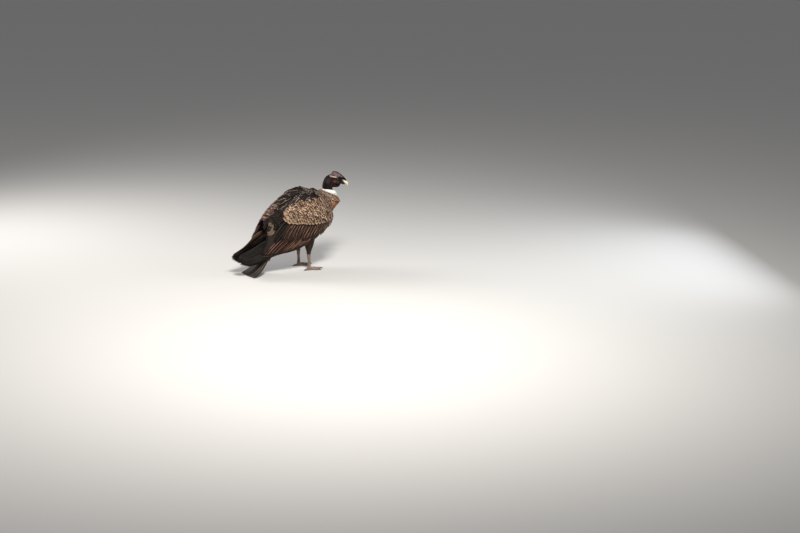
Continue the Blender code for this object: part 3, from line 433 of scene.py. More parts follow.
def lid_ring(side):
    """The lids: from under the skin over a soft rim and down onto the eyeball, round an almond opening."""
    a = full_turn(LID_AROUND)
    t = np.linspace(0, 1, LID_ROWS)[:, None]
    wide, tall = 0.0066, 0.0050 * (1 - 0.12 * np.cos(2 * a))
    out = eased((0, 0.25, 0.5, 0.75, 1), (1.75, 1.42, 1.20, 1.05, 0.94), t)
    x = wide * out * np.cos(a)
    z = tall * out * np.sin(a) - 0.0006
    dome = np.sqrt(np.maximum((EYE_RADIUS + 0.0002) ** 2 - x**2 - z**2, 0))
    rise = eased((0, 0.25, 0.5, 0.75, 0.9, 1), (-0.0030, 0.0008, 0.0018, 0.0017, 0.0008, 0.0), t)
    outer = 0.0050 + rise + 0.0004 * np.sin(9 * a) * np.sin(math.pi * t)
    y = np.where(t > 0.86, dome + rise * 0.5, np.maximum(outer, dome * ramp(t, 0.3, 0.8)))
    return on_head((np.stack([x, y, z], -1) + EYE_PLACE) * [1, side, 1])


lids = [lid_ring(side) for _, side in SIDES]


# The legs: bare scaled shanks and feet, grey with a pinkish cast, dusty where they meet the ground.
# Each toe is a row of knuckles with broad plates across its top and a pad under each joint.
FOOT_SPREAD = 0.088
TOES = (("inner", -30, 0.074, 2), ("middle", 0, 0.108, 3), ("outer", 30, 0.078, 3), ("hind", 172, 0.038, 1))
SHANK = (
    (-0.0040, 0.0870, 0.1480, 0.0160, 0.0160),
    (-0.0030, 0.0870, 0.1220, 0.0150, 0.0145),
    (-0.0020, 0.0875, 0.0920, 0.0118, 0.0112),
    (0.0000, 0.0880, 0.0620, 0.0116, 0.0112),
    (0.0000, 0.0880, 0.0363, 0.0135, 0.0140),
    (0.0000, 0.0880, 0.0270, 0.0150, 0.0155),
    (0.0010, 0.0880, 0.0160, 0.0180, 0.0185),
    (0.0020, 0.0880, 0.0060, 0.0182, 0.0187),
    (0.0020, 0.0880, 0.0004, 0.0170, 0.0175),
)


def toe_line(side, heading, ahead, height):
    """Points along a toe from the foot's middle, and the level direction across it."""
    a = math.radians(heading) * side
    run = np.array([math.cos(a), math.sin(a), 0.0])
    across = np.array([-math.sin(a), math.cos(a), 0.0])
    foot = np.array([0.0, side * FOOT_SPREAD, 0.0])
    return foot + run * ahead[:, None] + [0, 0, 1] * height[:, None], across


def upright_rings(centres, across, wide, tall, under):
    """Upright rings square to a level limb, with the part under its middle deeper by under."""
    a = full_turn(26)
    lift = tall[:, None] * np.where(np.sin(a) > 0, 1.0, under) * np.sin(a)
    offset = wide[:, None] * np.cos(a)
    return centres[:, None] + offset[..., None] * across + lift[..., None] * [0.0, 0.0, 1.0]


leg_shapes = []
for name, side in SIDES:
    leg = rows_of(SHANK, 60)
    leg[:, 1] *= side
    a = full_turn(36)
    scale = 1 + 0.035 * np.abs(np.sin(leg[:, 2:3] * math.pi / 0.0065)) ** 0.6 * np.clip(np.cos(a), 0, 1)
    offset = [leg[:, 3:4] * scale * np.cos(a), leg[:, 4:5] * scale * np.sin(a), 0 * scale]
    leg_shapes.append(as_tube(leg[:, None, :3] + np.stack(offset, -1)))
    for _, heading, length, joints in TOES:
        share = np.linspace(0, 1, 64)
        radius = 0.0096 * (1.06 - 0.30 * share) * (1 + 0.10 * np.cos(2 * math.pi * joints * share))
        plates = 1 + 0.07 * np.abs(np.sin(share * length * math.pi / 0.0056)) ** 0.5
        height = 0.0105 - 0.0032 * share + 0.0045 * np.sin(math.pi * share) ** 2 * 0.4
        close = ramp(share, 1.0, 0.93) ** 0.5 * 0.3 + 0.7
        centres, across = toe_line(side, heading, share * length * 1.005, height)
        rings = upright_rings(centres, across, radius * close, radius * plates * close, 1.05)
        leg_shapes.append(as_tube(rings))
leg_mesh = fused("legs", leg_shapes, 0.00135, 2)
leg_points, _, leg_faces = arrays_of(leg_mesh)
leg_points[:, 2] = np.maximum(leg_points[:, 2], 0.0003)


# One skin for the whole bird: body, neck, head, comb, wattles, lids, legs and feet.
# The bare skin is almost black on the head and neck, lilac-pink on the comb and grey-pink on the legs.
# Under the feathers it has the colour of the feathers over it.
DARK_SKIN = (0.0058, 0.0032, 0.0034)
MAROON = (0.034, 0.0065, 0.0060)
FACE_PINK = (0.150, 0.072, 0.058)
FACE_TAN = (0.105, 0.070, 0.048)
NECK_BROWN = (0.046, 0.034, 0.028)
# Painted highlight: the colour of the pale band across the crown.
CROWN_PAINTED_HIGHLIGHT = (0.420, 0.325, 0.265)
COMB_PINK = (0.165, 0.112, 0.112)
LEG_GREY = (0.270, 0.195, 0.165)
LEG_DARK = (0.115, 0.070, 0.056)
LEG_DUST = (0.330, 0.290, 0.240)


def noise(points, scale, seed=0.0):
    """A smooth random field between -1 and 1: the mean of sines of the points along five directions."""
    total = 0
    for k in range(5):
        turns = (7 * k + seed, 11 * k + 2 * seed, 5 * k + 3 * seed + 1)
        way = np.array([math.sin(turns[0]), math.cos(turns[1]), math.sin(turns[2])])
        bent = 1.7 * np.sin(points @ way[::-1] * scale)
        total = total + np.sin(points @ (way * scale * (1 + 0.37 * k)) + 4 * k + seed + bent)
    return total / 3.2


def spot(p, x, z, wide, tall):
    """1 at a place on the side of the head and falling to 0 round it: wide along x and tall along z."""
    return np.exp(-(((p[:, 0] - x) / wide) ** 2 + ((p[:, 2] - z) / tall) ** 2))


def head_tint(points):
    """The bare skin's colour: almost black, maroon on the throat and pinkish behind the eye.

    A painted highlight, a pale band, crosses the crown. The comb is lilac-pink, and black along its top and
    towards the bill."""
    p = head_frame(points)
    mottle = noise(points, 260, 1)
    tint = mixed(DARK_SKIN, MAROON, 0.8 * spot(p, -0.020, -0.040, 0.024, 0.018))
    tint = mixed(tint, FACE_PINK, (0.62 + 0.38 * mottle) * spot(p, -0.010, -0.010, 0.017, 0.012))
    tint = mixed(tint, FACE_TAN, (0.60 + 0.30 * mottle) * spot(p, 0.020, -0.013, 0.010, 0.009))
    tint = mixed(tint, NECK_BROWN, (0.40 + 0.3 * mottle) * spot(p, -0.070, -0.014, 0.016, 0.022))
    # Painted highlight: a pale band across the top of the crown.
    crown = ramp(p[:, 2], 0.018, 0.024) * ramp(p[:, 2], 0.034, 0.028)
    crown = crown * ramp(p[:, 0], -0.066, -0.050) * ramp(p[:, 0], 0.020, -0.014)
    tint = mixed(tint, CROWN_PAINTED_HIGHLIGHT, (0.80 + 0.20 * mottle) * crown)
    on_comb = ramp(p[:, 2], 0.029, 0.036) * ramp(0.018 - np.abs(p[:, 1]), 0.0, 0.006) * (p[:, 0] > -0.054)
    crest = eased(COMB_X, COMB_TOP, np.clip(p[:, 0], COMB_X[0], COMB_X[-1]))
    below = crest - p[:, 2]
    lilac = ramp(below, 0.0060, 0.0110) * ramp(p[:, 0], 0.074, 0.040)
    tint = mixed(tint, DARK_SKIN, on_comb * (1 - lilac))
    tint = mixed(tint, COMB_PINK, on_comb * lilac * (0.75 + 0.25 * mottle))
    return tint * (1 + 0.28 * noise(points, 130, 2) + 0.18 * noise(points, 420, 3))[:, None]


def leg_tint(points):
    """Grey-pink skin, darker in random patches, dusty on the toes."""
    tint = mixed(LEG_GREY, LEG_DARK, 0.45 + 0.35 * noise(points, 90, 4))
    tint = mixed(tint, LEG_DUST, 0.55 * ramp(-points[:, 2], -0.016, -0.001))
    return tint * (1 + 0.16 * noise(points, 500, 5))[:, None]


body_points, _, body_faces = arrays_of(body_mesh)
lid_quads, _ = tube_faces(LID_ROWS, LID_AROUND)
UNDER_COAT = (0.030, 0.019, 0.015)
skin_parts = [
    (body_points, body_faces.tolist(), np.tile(UNDER_COAT, (len(body_points), 1))),
    (points, head_faces.tolist(), head_tint(points)),
    (leg_points, leg_faces.tolist(), leg_tint(leg_points)),
]
for rim, (_, side) in zip(lids, SIDES):
    rim = rim.reshape(-1, 3)
    quads = lid_quads if side > 0 else lid_quads[:, ::-1]
    skin_parts.append((rim, quads.tolist(), head_tint(rim) * 0.75))
all_points, all_faces, all_tints, start = [], [], [], 0
for part_points, part_faces, part_tint in skin_parts:
    all_points.append(part_points)
    all_faces += [[start + k for k in face] for face in part_faces]
    all_tints.append(part_tint)
    start += len(part_points)
skin = mesh_piece("skin", np.concatenate(all_points), all_faces)


def set_colour(mesh, name, colours):
    """A colour for each point, kept as an attribute that a material reads."""
    attribute = mesh.attributes.new(name, "FLOAT_COLOR", "POINT")
    rgba = np.ones((len(colours), 4), np.float32)
    rgba[:, : colours.shape[1]] = np.clip(colours, 0, 1)
    attribute.data.foreach_set("color", rgba.ravel())


class Wiring:
    """A material's nodes, added and joined a line at a time."""

    def __init__(self, name):
        self.material = bpy.data.materials.new(name)
        self.material.use_nodes = True
        self.tree = self.material.node_tree
        self.shader = self.tree.nodes["Principled BSDF"]

    def node(self, kind, links=(), **settings):
        made = self.tree.nodes.new("ShaderNode" + kind)
        for key, value in settings.items():
            setattr(made, key, value)
        for key, value in dict(links).items():
            self.give(made.inputs[key], value)
        return made

    def give(self, socket, value):
        if isinstance(value, bpy.types.NodeSocket):
            self.tree.links.new(value, socket)
        elif isinstance(value, (tuple, list)) and len(value) == 3 and socket.type == "RGBA":
            socket.default_value = (*value, 1)
        else:
            socket.default_value = value

    def math(self, operation, a, b=0.5, c=0.0):
        return self.node("Math", {0: a, 1: b, 2: c}, operation=operation).outputs[0]

    def step(self, value, low, high, to_low=0.0, to_high=1.0):
        links = {"Value": value, "From Min": low, "From Max": high, "To Min": to_low, "To Max": to_high}
        return self.node("MapRange", links, interpolation_type="SMOOTHSTEP").outputs[0]

    def mix(self, share, a, b, blend="MIX"):
        links = {0: share, 6: a, 7: b}
        return self.node("Mix", links, data_type="RGBA", blend_type=blend).outputs[2]

    def attribute(self, name):
        return self.node("Attribute", attribute_name=name)

    def bumped(self, height, strength, distance):
        made = self.node("Bump", {"Height": height, "Strength": strength, "Distance": distance})
        self.give(self.shader.inputs["Normal"], made.outputs[0])

    def surface(self, **values):
        names = {"colour": "Base Color", "rough": "Roughness", "gloss": "Specular IOR Level",
                 "coat": "Coat Weight", "coat_rough": "Coat Roughness", "sheen": "Sheen Weight"}
        for key, value in values.items():
            self.give(self.shader.inputs[names[key]], value)


skin_finish = Wiring("bare_skin")
where = skin_finish.node("TexCoord").outputs["Object"]
cells = skin_finish.node("TexVoronoi", {"Vector": where, "Scale": 420.0}, feature="DISTANCE_TO_EDGE")
fine = skin_finish.node("TexNoise", {"Vector": where, "Scale": 900.0, "Detail": 3.0}).outputs[0]
broad = skin_finish.node("TexNoise", {"Vector": where, "Scale": 120.0, "Detail": 4.0}).outputs[0]
tint = skin_finish.attribute("tint").outputs["Color"]
# Painted shade: the skin is darkened towards near black in its creases, along the edges of the cell
# pattern.
creases = skin_finish.step(cells.outputs[0], 0.0, 0.16)
crease_painted_shade = skin_finish.math("MULTIPLY", skin_finish.math("SUBTRACT", 1.0, creases), 0.18)
shaded = skin_finish.mix(crease_painted_shade, tint, (0.008, 0.005, 0.005))
blotches = skin_finish.step(broad, 0.50, 0.72, 0.0, 0.35)
lighter = skin_finish.mix(1.0, tint, (1.5, 1.4, 1.35), "MULTIPLY")
shaded = skin_finish.mix(blotches, shaded, lighter)
folds = skin_finish.math("MULTIPLY", creases, 0.7)
pores = skin_finish.math("MULTIPLY", fine, 0.5)
skin_finish.bumped(skin_finish.math("ADD", folds, pores), 0.45, 0.0006)
skin_finish.surface(colour=shaded, rough=skin_finish.step(broad, 0.3, 0.7, 0.50, 0.66), gloss=0.08)
set_colour(skin.data, "tint", np.concatenate(all_tints))
skin.data.materials.append(skin_finish.material)
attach(skin, "root")
leg_nodes = [f"{part}_{name}" for part in ("thigh", "shank", "foot") for name, _ in SIDES]
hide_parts("torso", "neck", "head", "comb", *leg_nodes)


# The eyes: wet brown globes 17 mm across, with a round pupil behind a slightly bulging cornea.
# They look outwards and a little ahead.
for name, side in SIDES:
    tall, a = grid(np.linspace(0.03, math.pi - 0.03, 40), full_turn(56))
    axis = unit(np.array([0.22, side * 1.0, 0.05]))
    across = unit(np.cross(axis, [0, 0, 1]))
    upward = np.cross(across, axis)
    cornea = 1 + 0.045 * np.exp(-((tall / 0.55) ** 2))
    globe = EYE_RADIUS * cornea[..., None] * (
        np.cos(tall)[..., None] * axis
        + (np.sin(tall) * np.cos(a))[..., None] * across
        + (np.sin(tall) * np.sin(a))[..., None] * upward
    )
    ball_points, ball_faces = as_tube(on_head(globe + EYE_PLACE * [1, side, 1]))
    if side > 0:
        ball_faces = [face[::-1] for face in ball_faces]
    ball = mesh_piece(f"eyeball_{name}", ball_points, ball_faces)
    off = tall.reshape(-1)
    streak = 0.5 + 0.5 * np.sin(a.reshape(-1) * 23 + 2 * np.sin(a.reshape(-1) * 7))
    iris = mixed((0.105, 0.040, 0.018), (0.040, 0.014, 0.007), streak * 0.7)
    colour = mixed((0.002, 0.002, 0.002), iris, ramp(off, 0.34, 0.38))
    colour = mixed(colour, (0.012, 0.006, 0.004), ramp(off, 0.66, 0.74))
    set_colour(ball.data, "tint", mixed(colour, (0.16, 0.12, 0.10), ramp(off, 0.90, 1.10)))
    if name == "left":
        eye_finish = Wiring("wet_eye")
        tint = eye_finish.attribute("tint").outputs["Color"]
        eye_finish.surface(colour=tint, rough=0.06, gloss=0.6, coat=1.0, coat_rough=0.03)
    ball.data.materials.append(eye_finish.material)
    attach(ball, "root")
    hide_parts(f"eye_{name}")


# The bill: horn, dark brown at its root and ivory from its middle to the hooked tip.
# The upper half has a slit nostril near the root and a sharp lower edge over the lower half.
UPPER_BILL = (
    (0.0480, 0.0010, 0.0150, 0.0135, 0.0150),
    (0.0590, 0.0010, 0.0142, 0.0132, 0.0142),
    (0.0680, 0.0004, 0.0132, 0.0128, 0.0130),
    (0.0800, -0.0005, 0.0122, 0.0122, 0.0116),
    (0.0930, -0.0020, 0.0112, 0.0115, 0.0100),
    (0.1025, -0.0070, 0.0098, 0.0100, 0.0083),
    (0.1085, -0.0150, 0.0070, 0.0070, 0.0060),
    (0.1105, -0.0230, 0.0042, 0.0042, 0.0036),
    (0.1100, -0.0288, 0.0012, 0.0012, 0.0011),
)
LOWER_BILL = (
    (0.0480, -0.0190, 0.0058, 0.0058, 0.0122),
    (0.0660, -0.0188, 0.0056, 0.0056, 0.0112),
    (0.0800, -0.0184, 0.0053, 0.0052, 0.0096),
    (0.0910, -0.0180, 0.0042, 0.0044, 0.0074),
    (0.0975, -0.0176, 0.0028, 0.0026, 0.0040),
)


def bill_half(table, square):
    """Rounded sections carried along the bill's middle line, which bends down at the tip."""
    rows = rows_of(table, 90)
    line = np.stack([rows[:, 0], 0 * rows[:, 0], rows[:, 1]], -1)
    across = np.tile([0.0, 1.0, 0.0], (len(line), 1))
    local = swept(line, across, rows[:, 2], rows[:, 3], rows[:, 4], 48, square)
    growth = 1 + 0.004 * np.sin(local[..., 0:1] * 900) * [0, 1, 1]
    return local * growth


upper = bill_half(UPPER_BILL, 0.92)
for side in (1, -1):
    slit = (upper - np.array([0.0685, side * 0.0128, 0.0036])) / [0.0050, 0.0060, 0.0023]
    dent = np.clip(1 - (slit**2).sum(-1), 0, 1) ** 0.6
    upper[..., 1] -= side * 0.0038 * dent
horn_shapes = (("bill_upper_horn", upper, "bill_upper", "horn_pale"),
               ("bill_lower_horn", bill_half(LOWER_BILL, 1.0), "bill_lower", "horn_dark"))
horn = Wiring("bill_horn")
where = horn.node("TexCoord").outputs["Object"]
drawn_out = horn.node("Mapping", {"Vector": where, "Scale": (60.0, 240.0, 240.0)}).outputs[0]
streaks = horn.node("TexNoise", {"Vector": drawn_out, "Scale": 2.4, "Detail": 5.0}).outputs[0]
scratch = horn.node("TexNoise", {"Vector": where, "Scale": 700.0, "Detail": 2.0}).outputs[0]
tint = horn.attribute("tint").outputs["Color"]
worn_share = horn.step(streaks, 0.42, 0.68, 0.0, 0.5)
stained = horn.mix(1.0, tint, (0.52, 0.45, 0.38), "MULTIPLY")
worn = horn.mix(worn_share, tint, stained)
horn.bumped(horn.math("ADD", streaks, horn.math("MULTIPLY", scratch, 0.3)), 0.25, 0.0005)
horn.surface(colour=worn, rough=horn.step(scratch, 0.3, 0.7, 0.34, 0.50), gloss=0.36)
for name, local, node, slot in horn_shapes:
    half_points, half_faces = as_tube(on_head(local))
    half_piece = mesh_piece(name, half_points, half_faces)
    flat = local.reshape(-1, 3)
    pale = ramp(flat[:, 0] + 0.9 * flat[:, 2] + 0.002 * np.sin(flat[:, 2] * 700), 0.060, 0.084)
    if node == "bill_lower":
        pale = ramp(flat[:, 0], 0.078, 0.096)
    tone = mixed((0.014, 0.010, 0.012), (0.150, 0.100, 0.066), ramp(pale, 0.0, 0.45))
    set_colour(half_piece.data, "tint", mixed(tone, (0.70, 0.62, 0.47), ramp(pale, 0.35, 0.95)))
    half_piece.data.materials.append(horn.material)
    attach(half_piece, "root")
    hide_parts(node)


# The claws: blunt dark horn, curved a little down to the ground, one on each toe.
CLAW_LENGTH = 0.024
claw_horn = Wiring("claw_horn")
where = claw_horn.node("TexCoord").outputs["Object"]
grain = claw_horn.node("TexNoise", {"Vector": where, "Scale": 260.0, "Detail": 6.0}).outputs[0]
claw_colour = claw_horn.mix(claw_horn.step(grain, 0.40, 0.72), (0.016, 0.013, 0.012), (0.110, 0.086, 0.070))
claw_horn.bumped(grain, 0.3, 0.0006)
claw_horn.surface(colour=claw_colour, rough=claw_horn.step(grain, 0.3, 0.7, 0.28, 0.5), gloss=0.5)
for name, side in SIDES:
    for label, heading, length, _ in TOES:
        share = np.linspace(0, 1, 22)
        reach = CLAW_LENGTH * (0.8 if label == "hind" else 1)
        ahead = length - 0.002 + (reach + 0.002) * share
        height = eased((0, 0.2, 0.4, 0.6, 0.8, 1), (0.0073, 0.0078, 0.0074, 0.0061, 0.0042, 0.0022), share)
        radius = eased((0, 0.2, 0.4, 0.6, 0.8, 1), (0.0054, 0.0051, 0.0045, 0.0036, 0.0025, 0.0009), share)
        centres, across = toe_line(side, heading, ahead, height)
        claw_points, claw_faces = as_tube(upright_rings(centres, across, radius * 0.88, radius, 0.95))
        claw = mesh_piece(f"horn_{label}_{name}", claw_points, claw_faces)
        claw.data.materials.append(claw_horn.material)
        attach(claw, "root")
        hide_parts(f"claw_{label}_{name}")


# Feathers. Each one is a thin closed vane with a raised shaft, laid along a surface from its root.
# It follows the surface, tips a little so that one edge lies over the next, and lifts towards its end.
# Its web and its fringe have colours of their own.
chance = np.random.default_rng(11)
VANE_RING = np.array([(-1.0, -0.2), (-0.55, 0.35), (0.0, 1.0), (0.55, 0.35), (1.0, -0.2), (0.0, -0.8)])
ROUND_TIP = ((0, 0.12, 0.35, 0.65, 0.86, 0.96, 1), (0.22, 0.55, 0.88, 1.0, 0.86, 0.50, 0.10))
LONG_TIP = ((0, 0.10, 0.35, 0.65, 0.85, 0.95, 1), (0.20, 0.48, 0.86, 1.0, 0.84, 0.52, 0.08))
ROW_EASE = 0.85
PATCH_SIZE = 0.003


def vanes(chart, root, tip, half, lift, profile=ROUND_TIP, rows=7, thick=0.0008, tip_angle=4.0, wave=0.0):
    """Points of N feathers laid on a chart, as an array of feather, row, ring and x y z.

    A row's centre is root + (tip - root) t on the chart. For the ring points (r, h), a point is offset by
    w = half profile(t) r across it, and raised by lift(t) + w tan(tip_angle) + thick h along the normal."""
    root, tip = np.asarray(root, float), np.asarray(tip, float)
    half = np.broadcast_to(np.asarray(half, float), (len(root),))
    t = np.linspace(0, 1, rows) ** ROW_EASE
    where = root[:, None] + (tip - root)[:, None] * t[None, :, None]
    place, by_u, by_v, out = chart_frame(chart, where[..., 0], where[..., 1])
    run = unit(np.gradient(place, axis=1))
    across = unit(np.cross(out, run))
    width = half[:, None] * eased(*profile, t)[None]
    offset = width[..., None] * VANE_RING[:, 0]
    shift = across[..., None, :] * offset[..., None]
    d_u = (shift * by_u[..., None, :]).sum(-1) / (by_u**2).sum(-1)[..., None]
    d_v = (shift * by_v[..., None, :]).sum(-1) / (by_v**2).sum(-1)[..., None]
    point, _, _, normal = chart_frame(chart, where[..., 0, None] + d_u, where[..., 1, None] + d_v)
    start, end = np.asarray(lift, float)
    raise_by = np.broadcast_to(start + (end - start) * t, (len(root), rows))
    phase = chance.uniform(0, 6, (len(root), 1))
    ripple = wave * half[:, None, None] * np.sin(t * 7 + phase)[..., None] * VANE_RING[:, 0]
    tilt = offset * math.tan(math.radians(tip_angle))
    height = raise_by[..., None] + tilt + thick * VANE_RING[:, 1] + ripple
    return point + normal * height[..., None]


def coat(name, rows_of_vanes, finish, nodes, unwrap):
    """One mesh of many vanes. Each row of them has points, web and fringe colours, and roots on an unwrap.

    The map called vane is r across and t along each feather. The map called OFBake is a patch
    0.003 across at the feather's root on the unwrap."""
    points, webs, fringes, maps, patches, quads, caps, start = [], [], [], [], [], [], [], 0
    for row in rows_of_vanes:
        count, rows, around = row["points"].shape[:3]
        points.append(row["points"].reshape(-1, 3))
        for store, key in ((webs, "web"), (fringes, "fringe")):
            store.append(np.repeat(np.broadcast_to(row[key], (count, 3)), rows * around, axis=0))
        across = (VANE_RING[:, 0] + 1) / 2
        along = np.linspace(0, 1, rows)[None, :, None] ** ROW_EASE + np.zeros((count, 1, 1))
        vane_map = np.stack(np.broadcast_arrays(across, along), -1)
        maps.append(vane_map.reshape(-1, 2))
        root = unwrap(row["root"])
        patches.append((root[:, None, None] + PATCH_SIZE * (vane_map - 0.5)).reshape(-1, 2))
        cell, cap = tube_faces(rows, around)
        first = start + np.arange(count)[:, None, None] * rows * around
        quads.append((first + cell).reshape(-1, 4))
        caps.append((first + np.array(cap)).reshape(-1, around))
        start += count * rows * around
    quads, caps = np.concatenate(quads), np.concatenate(caps)
    corners = np.concatenate([quads.ravel(), caps.ravel()]).astype(np.int32)
    sizes = np.concatenate([np.full(len(quads), 4), np.full(len(caps), caps.shape[1])])
    mesh = bpy.data.meshes.new(name)
    mesh.vertices.add(start)
    mesh.vertices.foreach_set("co", (np.concatenate(points) + SHIFT).astype(np.float32).ravel())
    mesh.loops.add(len(corners))
    mesh.loops.foreach_set("vertex_index", corners)
    mesh.polygons.add(len(sizes))
    mesh.polygons.foreach_set("loop_start", (np.cumsum(sizes) - sizes).astype(np.int32))
    mesh.update(calc_edges=True)
    for map_name, coordinates in (("vane", maps), ("OFBake", patches)):
        layer = mesh.uv_layers.new(name=map_name)
        layer.data.foreach_set("uv", np.concatenate(coordinates)[corners].astype(np.float32).ravel())
    set_colour(mesh, "web", np.concatenate(webs))
    set_colour(mesh, "fringe", np.concatenate(fringes))
    mesh.shade_smooth()
    mesh.validate()
    made = bpy.data.objects.new(name, mesh)
    bpy.context.scene.collection.objects.link(made)
    made.data.materials.append(finish.material)
    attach(made, "root")
    if nodes:
        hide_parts(*nodes)


def plumage(name, fringe_from, barbs, shaft, rough, tip_from=0.62):
    """A feather's finish: web and fringe colours, a paler shaft, and barbs that run out to the edge,
    painted lighter along their ridges as a highlight.
    """
    finish = Wiring(name)
    parts = finish.node("SeparateXYZ", {0: finish.node("UVMap", uv_map="vane").outputs[0]})
    across, along = parts.outputs[0], parts.outputs[1]
    off = finish.math("ABSOLUTE", finish.math("MULTIPLY_ADD", across, 2.0, -1.0))
    where = finish.node("TexCoord").outputs["Object"]
    patchy = finish.node("TexNoise", {"Vector": where, "Scale": 160.0, "Detail": 5.0}).outputs[0]
    broad = finish.node("TexNoise", {"Vector": where, "Scale": 26.0, "Detail": 4.0}).outputs[0]
    ragged = finish.math("MULTIPLY_ADD", patchy, 0.22, -0.11)
    edge = finish.math("MAXIMUM", off, finish.step(along, tip_from, 1.0))
    at_edge = finish.step(finish.math("ADD", edge, ragged), fringe_from, 1.0)
    web = finish.attribute("web").outputs["Color"]
    fringe = finish.attribute("fringe").outputs["Color"]
    colour = finish.mix(at_edge, web, fringe)
    slanted = finish.math("SUBTRACT", along, finish.math("MULTIPLY", off, 0.22))
    barb = finish.math("SINE", finish.math("MULTIPLY", slanted, barbs))
    stem = finish.step(off, 0.10, 0.02)
    colour = finish.mix(finish.math("MULTIPLY", stem, shaft), colour, (0.22, 0.17, 0.13))
    worn = finish.mix(1.0, colour, (0.62, 0.56, 0.52), "MULTIPLY")
    colour = finish.mix(finish.step(broad, 0.42, 0.66, 0.0, 0.55), colour, worn)
    # Painted highlight: the colour is lightened along the crests of the barbs' wave.
    barb_painted_highlight = finish.mix(1.0, colour, (1.30, 1.26, 1.22), "MULTIPLY")
    colour = finish.mix(finish.step(barb, 0.0, 1.0, 0.0, 0.35), colour, barb_painted_highlight)
    ridges, raised = finish.math("MULTIPLY", barb, 0.5), finish.math("MULTIPLY", stem, 1.5)
    finish.bumped(finish.math("ADD", ridges, raised), 0.35, 0.0006)
    uneven = finish.step(patchy, 0.3, 0.7, rough - 0.08, rough + 0.08)
    finish.surface(colour=colour, rough=uneven, gloss=0.08)
    return finish


def varied(colour, count, amount=0.18):
    """A colour for each of count feathers: lighter or darker by a share of it, and warmer or cooler."""
    light = 1 + amount * chance.normal(size=(count, 1))
    warm = 1 + 0.05 * chance.normal(size=(count, 3))
    return np.clip(np.asarray(colour, float) * light * warm, 0.004, 1)


def feather_row(points, root, web, fringe, web_spread=0.25, fringe_spread=0.3):
    """What coat needs of a row of feathers, with their colours varied by the two shares."""
    count = len(root)
    return {"points": points, "root": root, "web": varied(web, count, web_spread),
            "fringe": varied(fringe, count, fringe_spread)}


def by_chance(count, share):
    """A random number for each of count feathers, spread by share round 0."""
    return share * chance.normal(size=count)


def staggered(count, row):
    """Shares from 0 to 1 along a row, set half a step on in every second row."""
    return (np.arange(count) + 0.5 * (row % 2)) / (count - 0.5)


def round_row(count, row, scatter):
    """Angles round a limb or the body, half a step on in every second row, each moved at random."""
    return (np.arange(count) + 0.5 * (row % 2)) / count * 2 * math.pi + by_chance(count, scatter)


def along_lists(lists, share):
    """Points on the chart spread along two lists, one for each of its two directions."""
    return np.stack([eased(np.linspace(0, 1, len(line)), line, share) for line in lists], -1)


def on_shell(along, degrees):
    """Places on the wing's shell, from the way along it in metres and the angle round it in degrees."""
    return np.stack(np.broadcast_arrays(along, np.radians(degrees)), -1)


# The wings, folded over the flanks. Long blackish primaries lie innermost and reach the furthest back.
# Secondaries and tertials cover them, then greater, median and lesser coverts and the scapulars.
# The coverts are tan with dark middles, the scapulars black with thin pale edges, the secondaries reddish.
flight_finish = plumage("flight_feathers", 0.66, 190.0, 0.35, 0.60, 0.95)
covert_finish = plumage("wing_coverts", 0.42, 60.0, 0.20, 0.70)
scapular_finish = plumage("scapulars", 0.56, 120.0, 0.15, 0.66, 0.90)
TIERS = (
    # name, count, roots, tips, half width, lift at root and tip, web, fringe, outline
    ("primary", 11, ((0.36, 0.38, 0.40), (-44, -38, -20)),
     ((0.835, 0.885, 0.908, 0.908, 0.885), (-44, -22, 6, 38, 68)),
     0.024, (-0.014, -0.003), (0.0048, 0.0042, 0.0042), (0.034, 0.027, 0.025), LONG_TIP),
    ("secondary", 19, ((0.12, 0.26, 0.40), (-38, -14, 16)),
     ((0.335, 0.43, 0.535, 0.64, 0.735), (-53, -55, -55, -44, -14)),
     0.026, (-0.013, 0.0015), (0.0130, 0.0052, 0.0038), (0.210, 0.118, 0.084), ROUND_TIP),
    ("tertial", 10, ((0.40, 0.38, 0.33), (26, 62, 108)), ((0.735, 0.650, 0.575, 0.515), (-4, 26, 60, 106)),
     0.032, (-0.012, 0.004), (0.036, 0.021, 0.017), (0.170, 0.115, 0.092), ROUND_TIP),
    ("greater_covert", 21, ((0.09, 0.24, 0.38), (-28, 2, 34)), ((0.255, 0.420, 0.570), (-49, -26, 6)),
     0.023, (-0.012, 0.006), (0.0165, 0.0075, 0.0055), (0.190, 0.110, 0.080), ROUND_TIP),
    ("median_covert", 22, ((0.00, 0.13, 0.24, 0.33, 0.35), (-18, 0, 20, 37, 56)),
     ((0.060, 0.200, 0.320, 0.405, 0.430), (-36, -19, 2, 20, 40)),
     0.019, (-0.011, 0.009), (0.060, 0.034, 0.022), (0.40, 0.290, 0.200), ROUND_TIP),
)
TIP_SCATTER = {"greater_covert": 0.020}
# Painted shade: near-black colours for the right wing's tertials.
TERTIAL_PAINTED_SHADE = ((0.0045, 0.0028, 0.0022), (0.018, 0.012, 0.010))
# Painted light: tertial colours about three times lighter than the tier's own, for two of the right wing's
# tertials.
TERTIAL_PAINTED_LIGHT = ((0.100, 0.060, 0.042), (0.520, 0.385, 0.285))
PAINTED_LIGHT_TERTIALS = (5, 7)
# Painted highlight: tan colours for the edges of the left wing's highest primaries.
PRIMARY_PAINTED_HIGHLIGHT = ((0.040, 0.026, 0.020), (0.400, 0.280, 0.195))


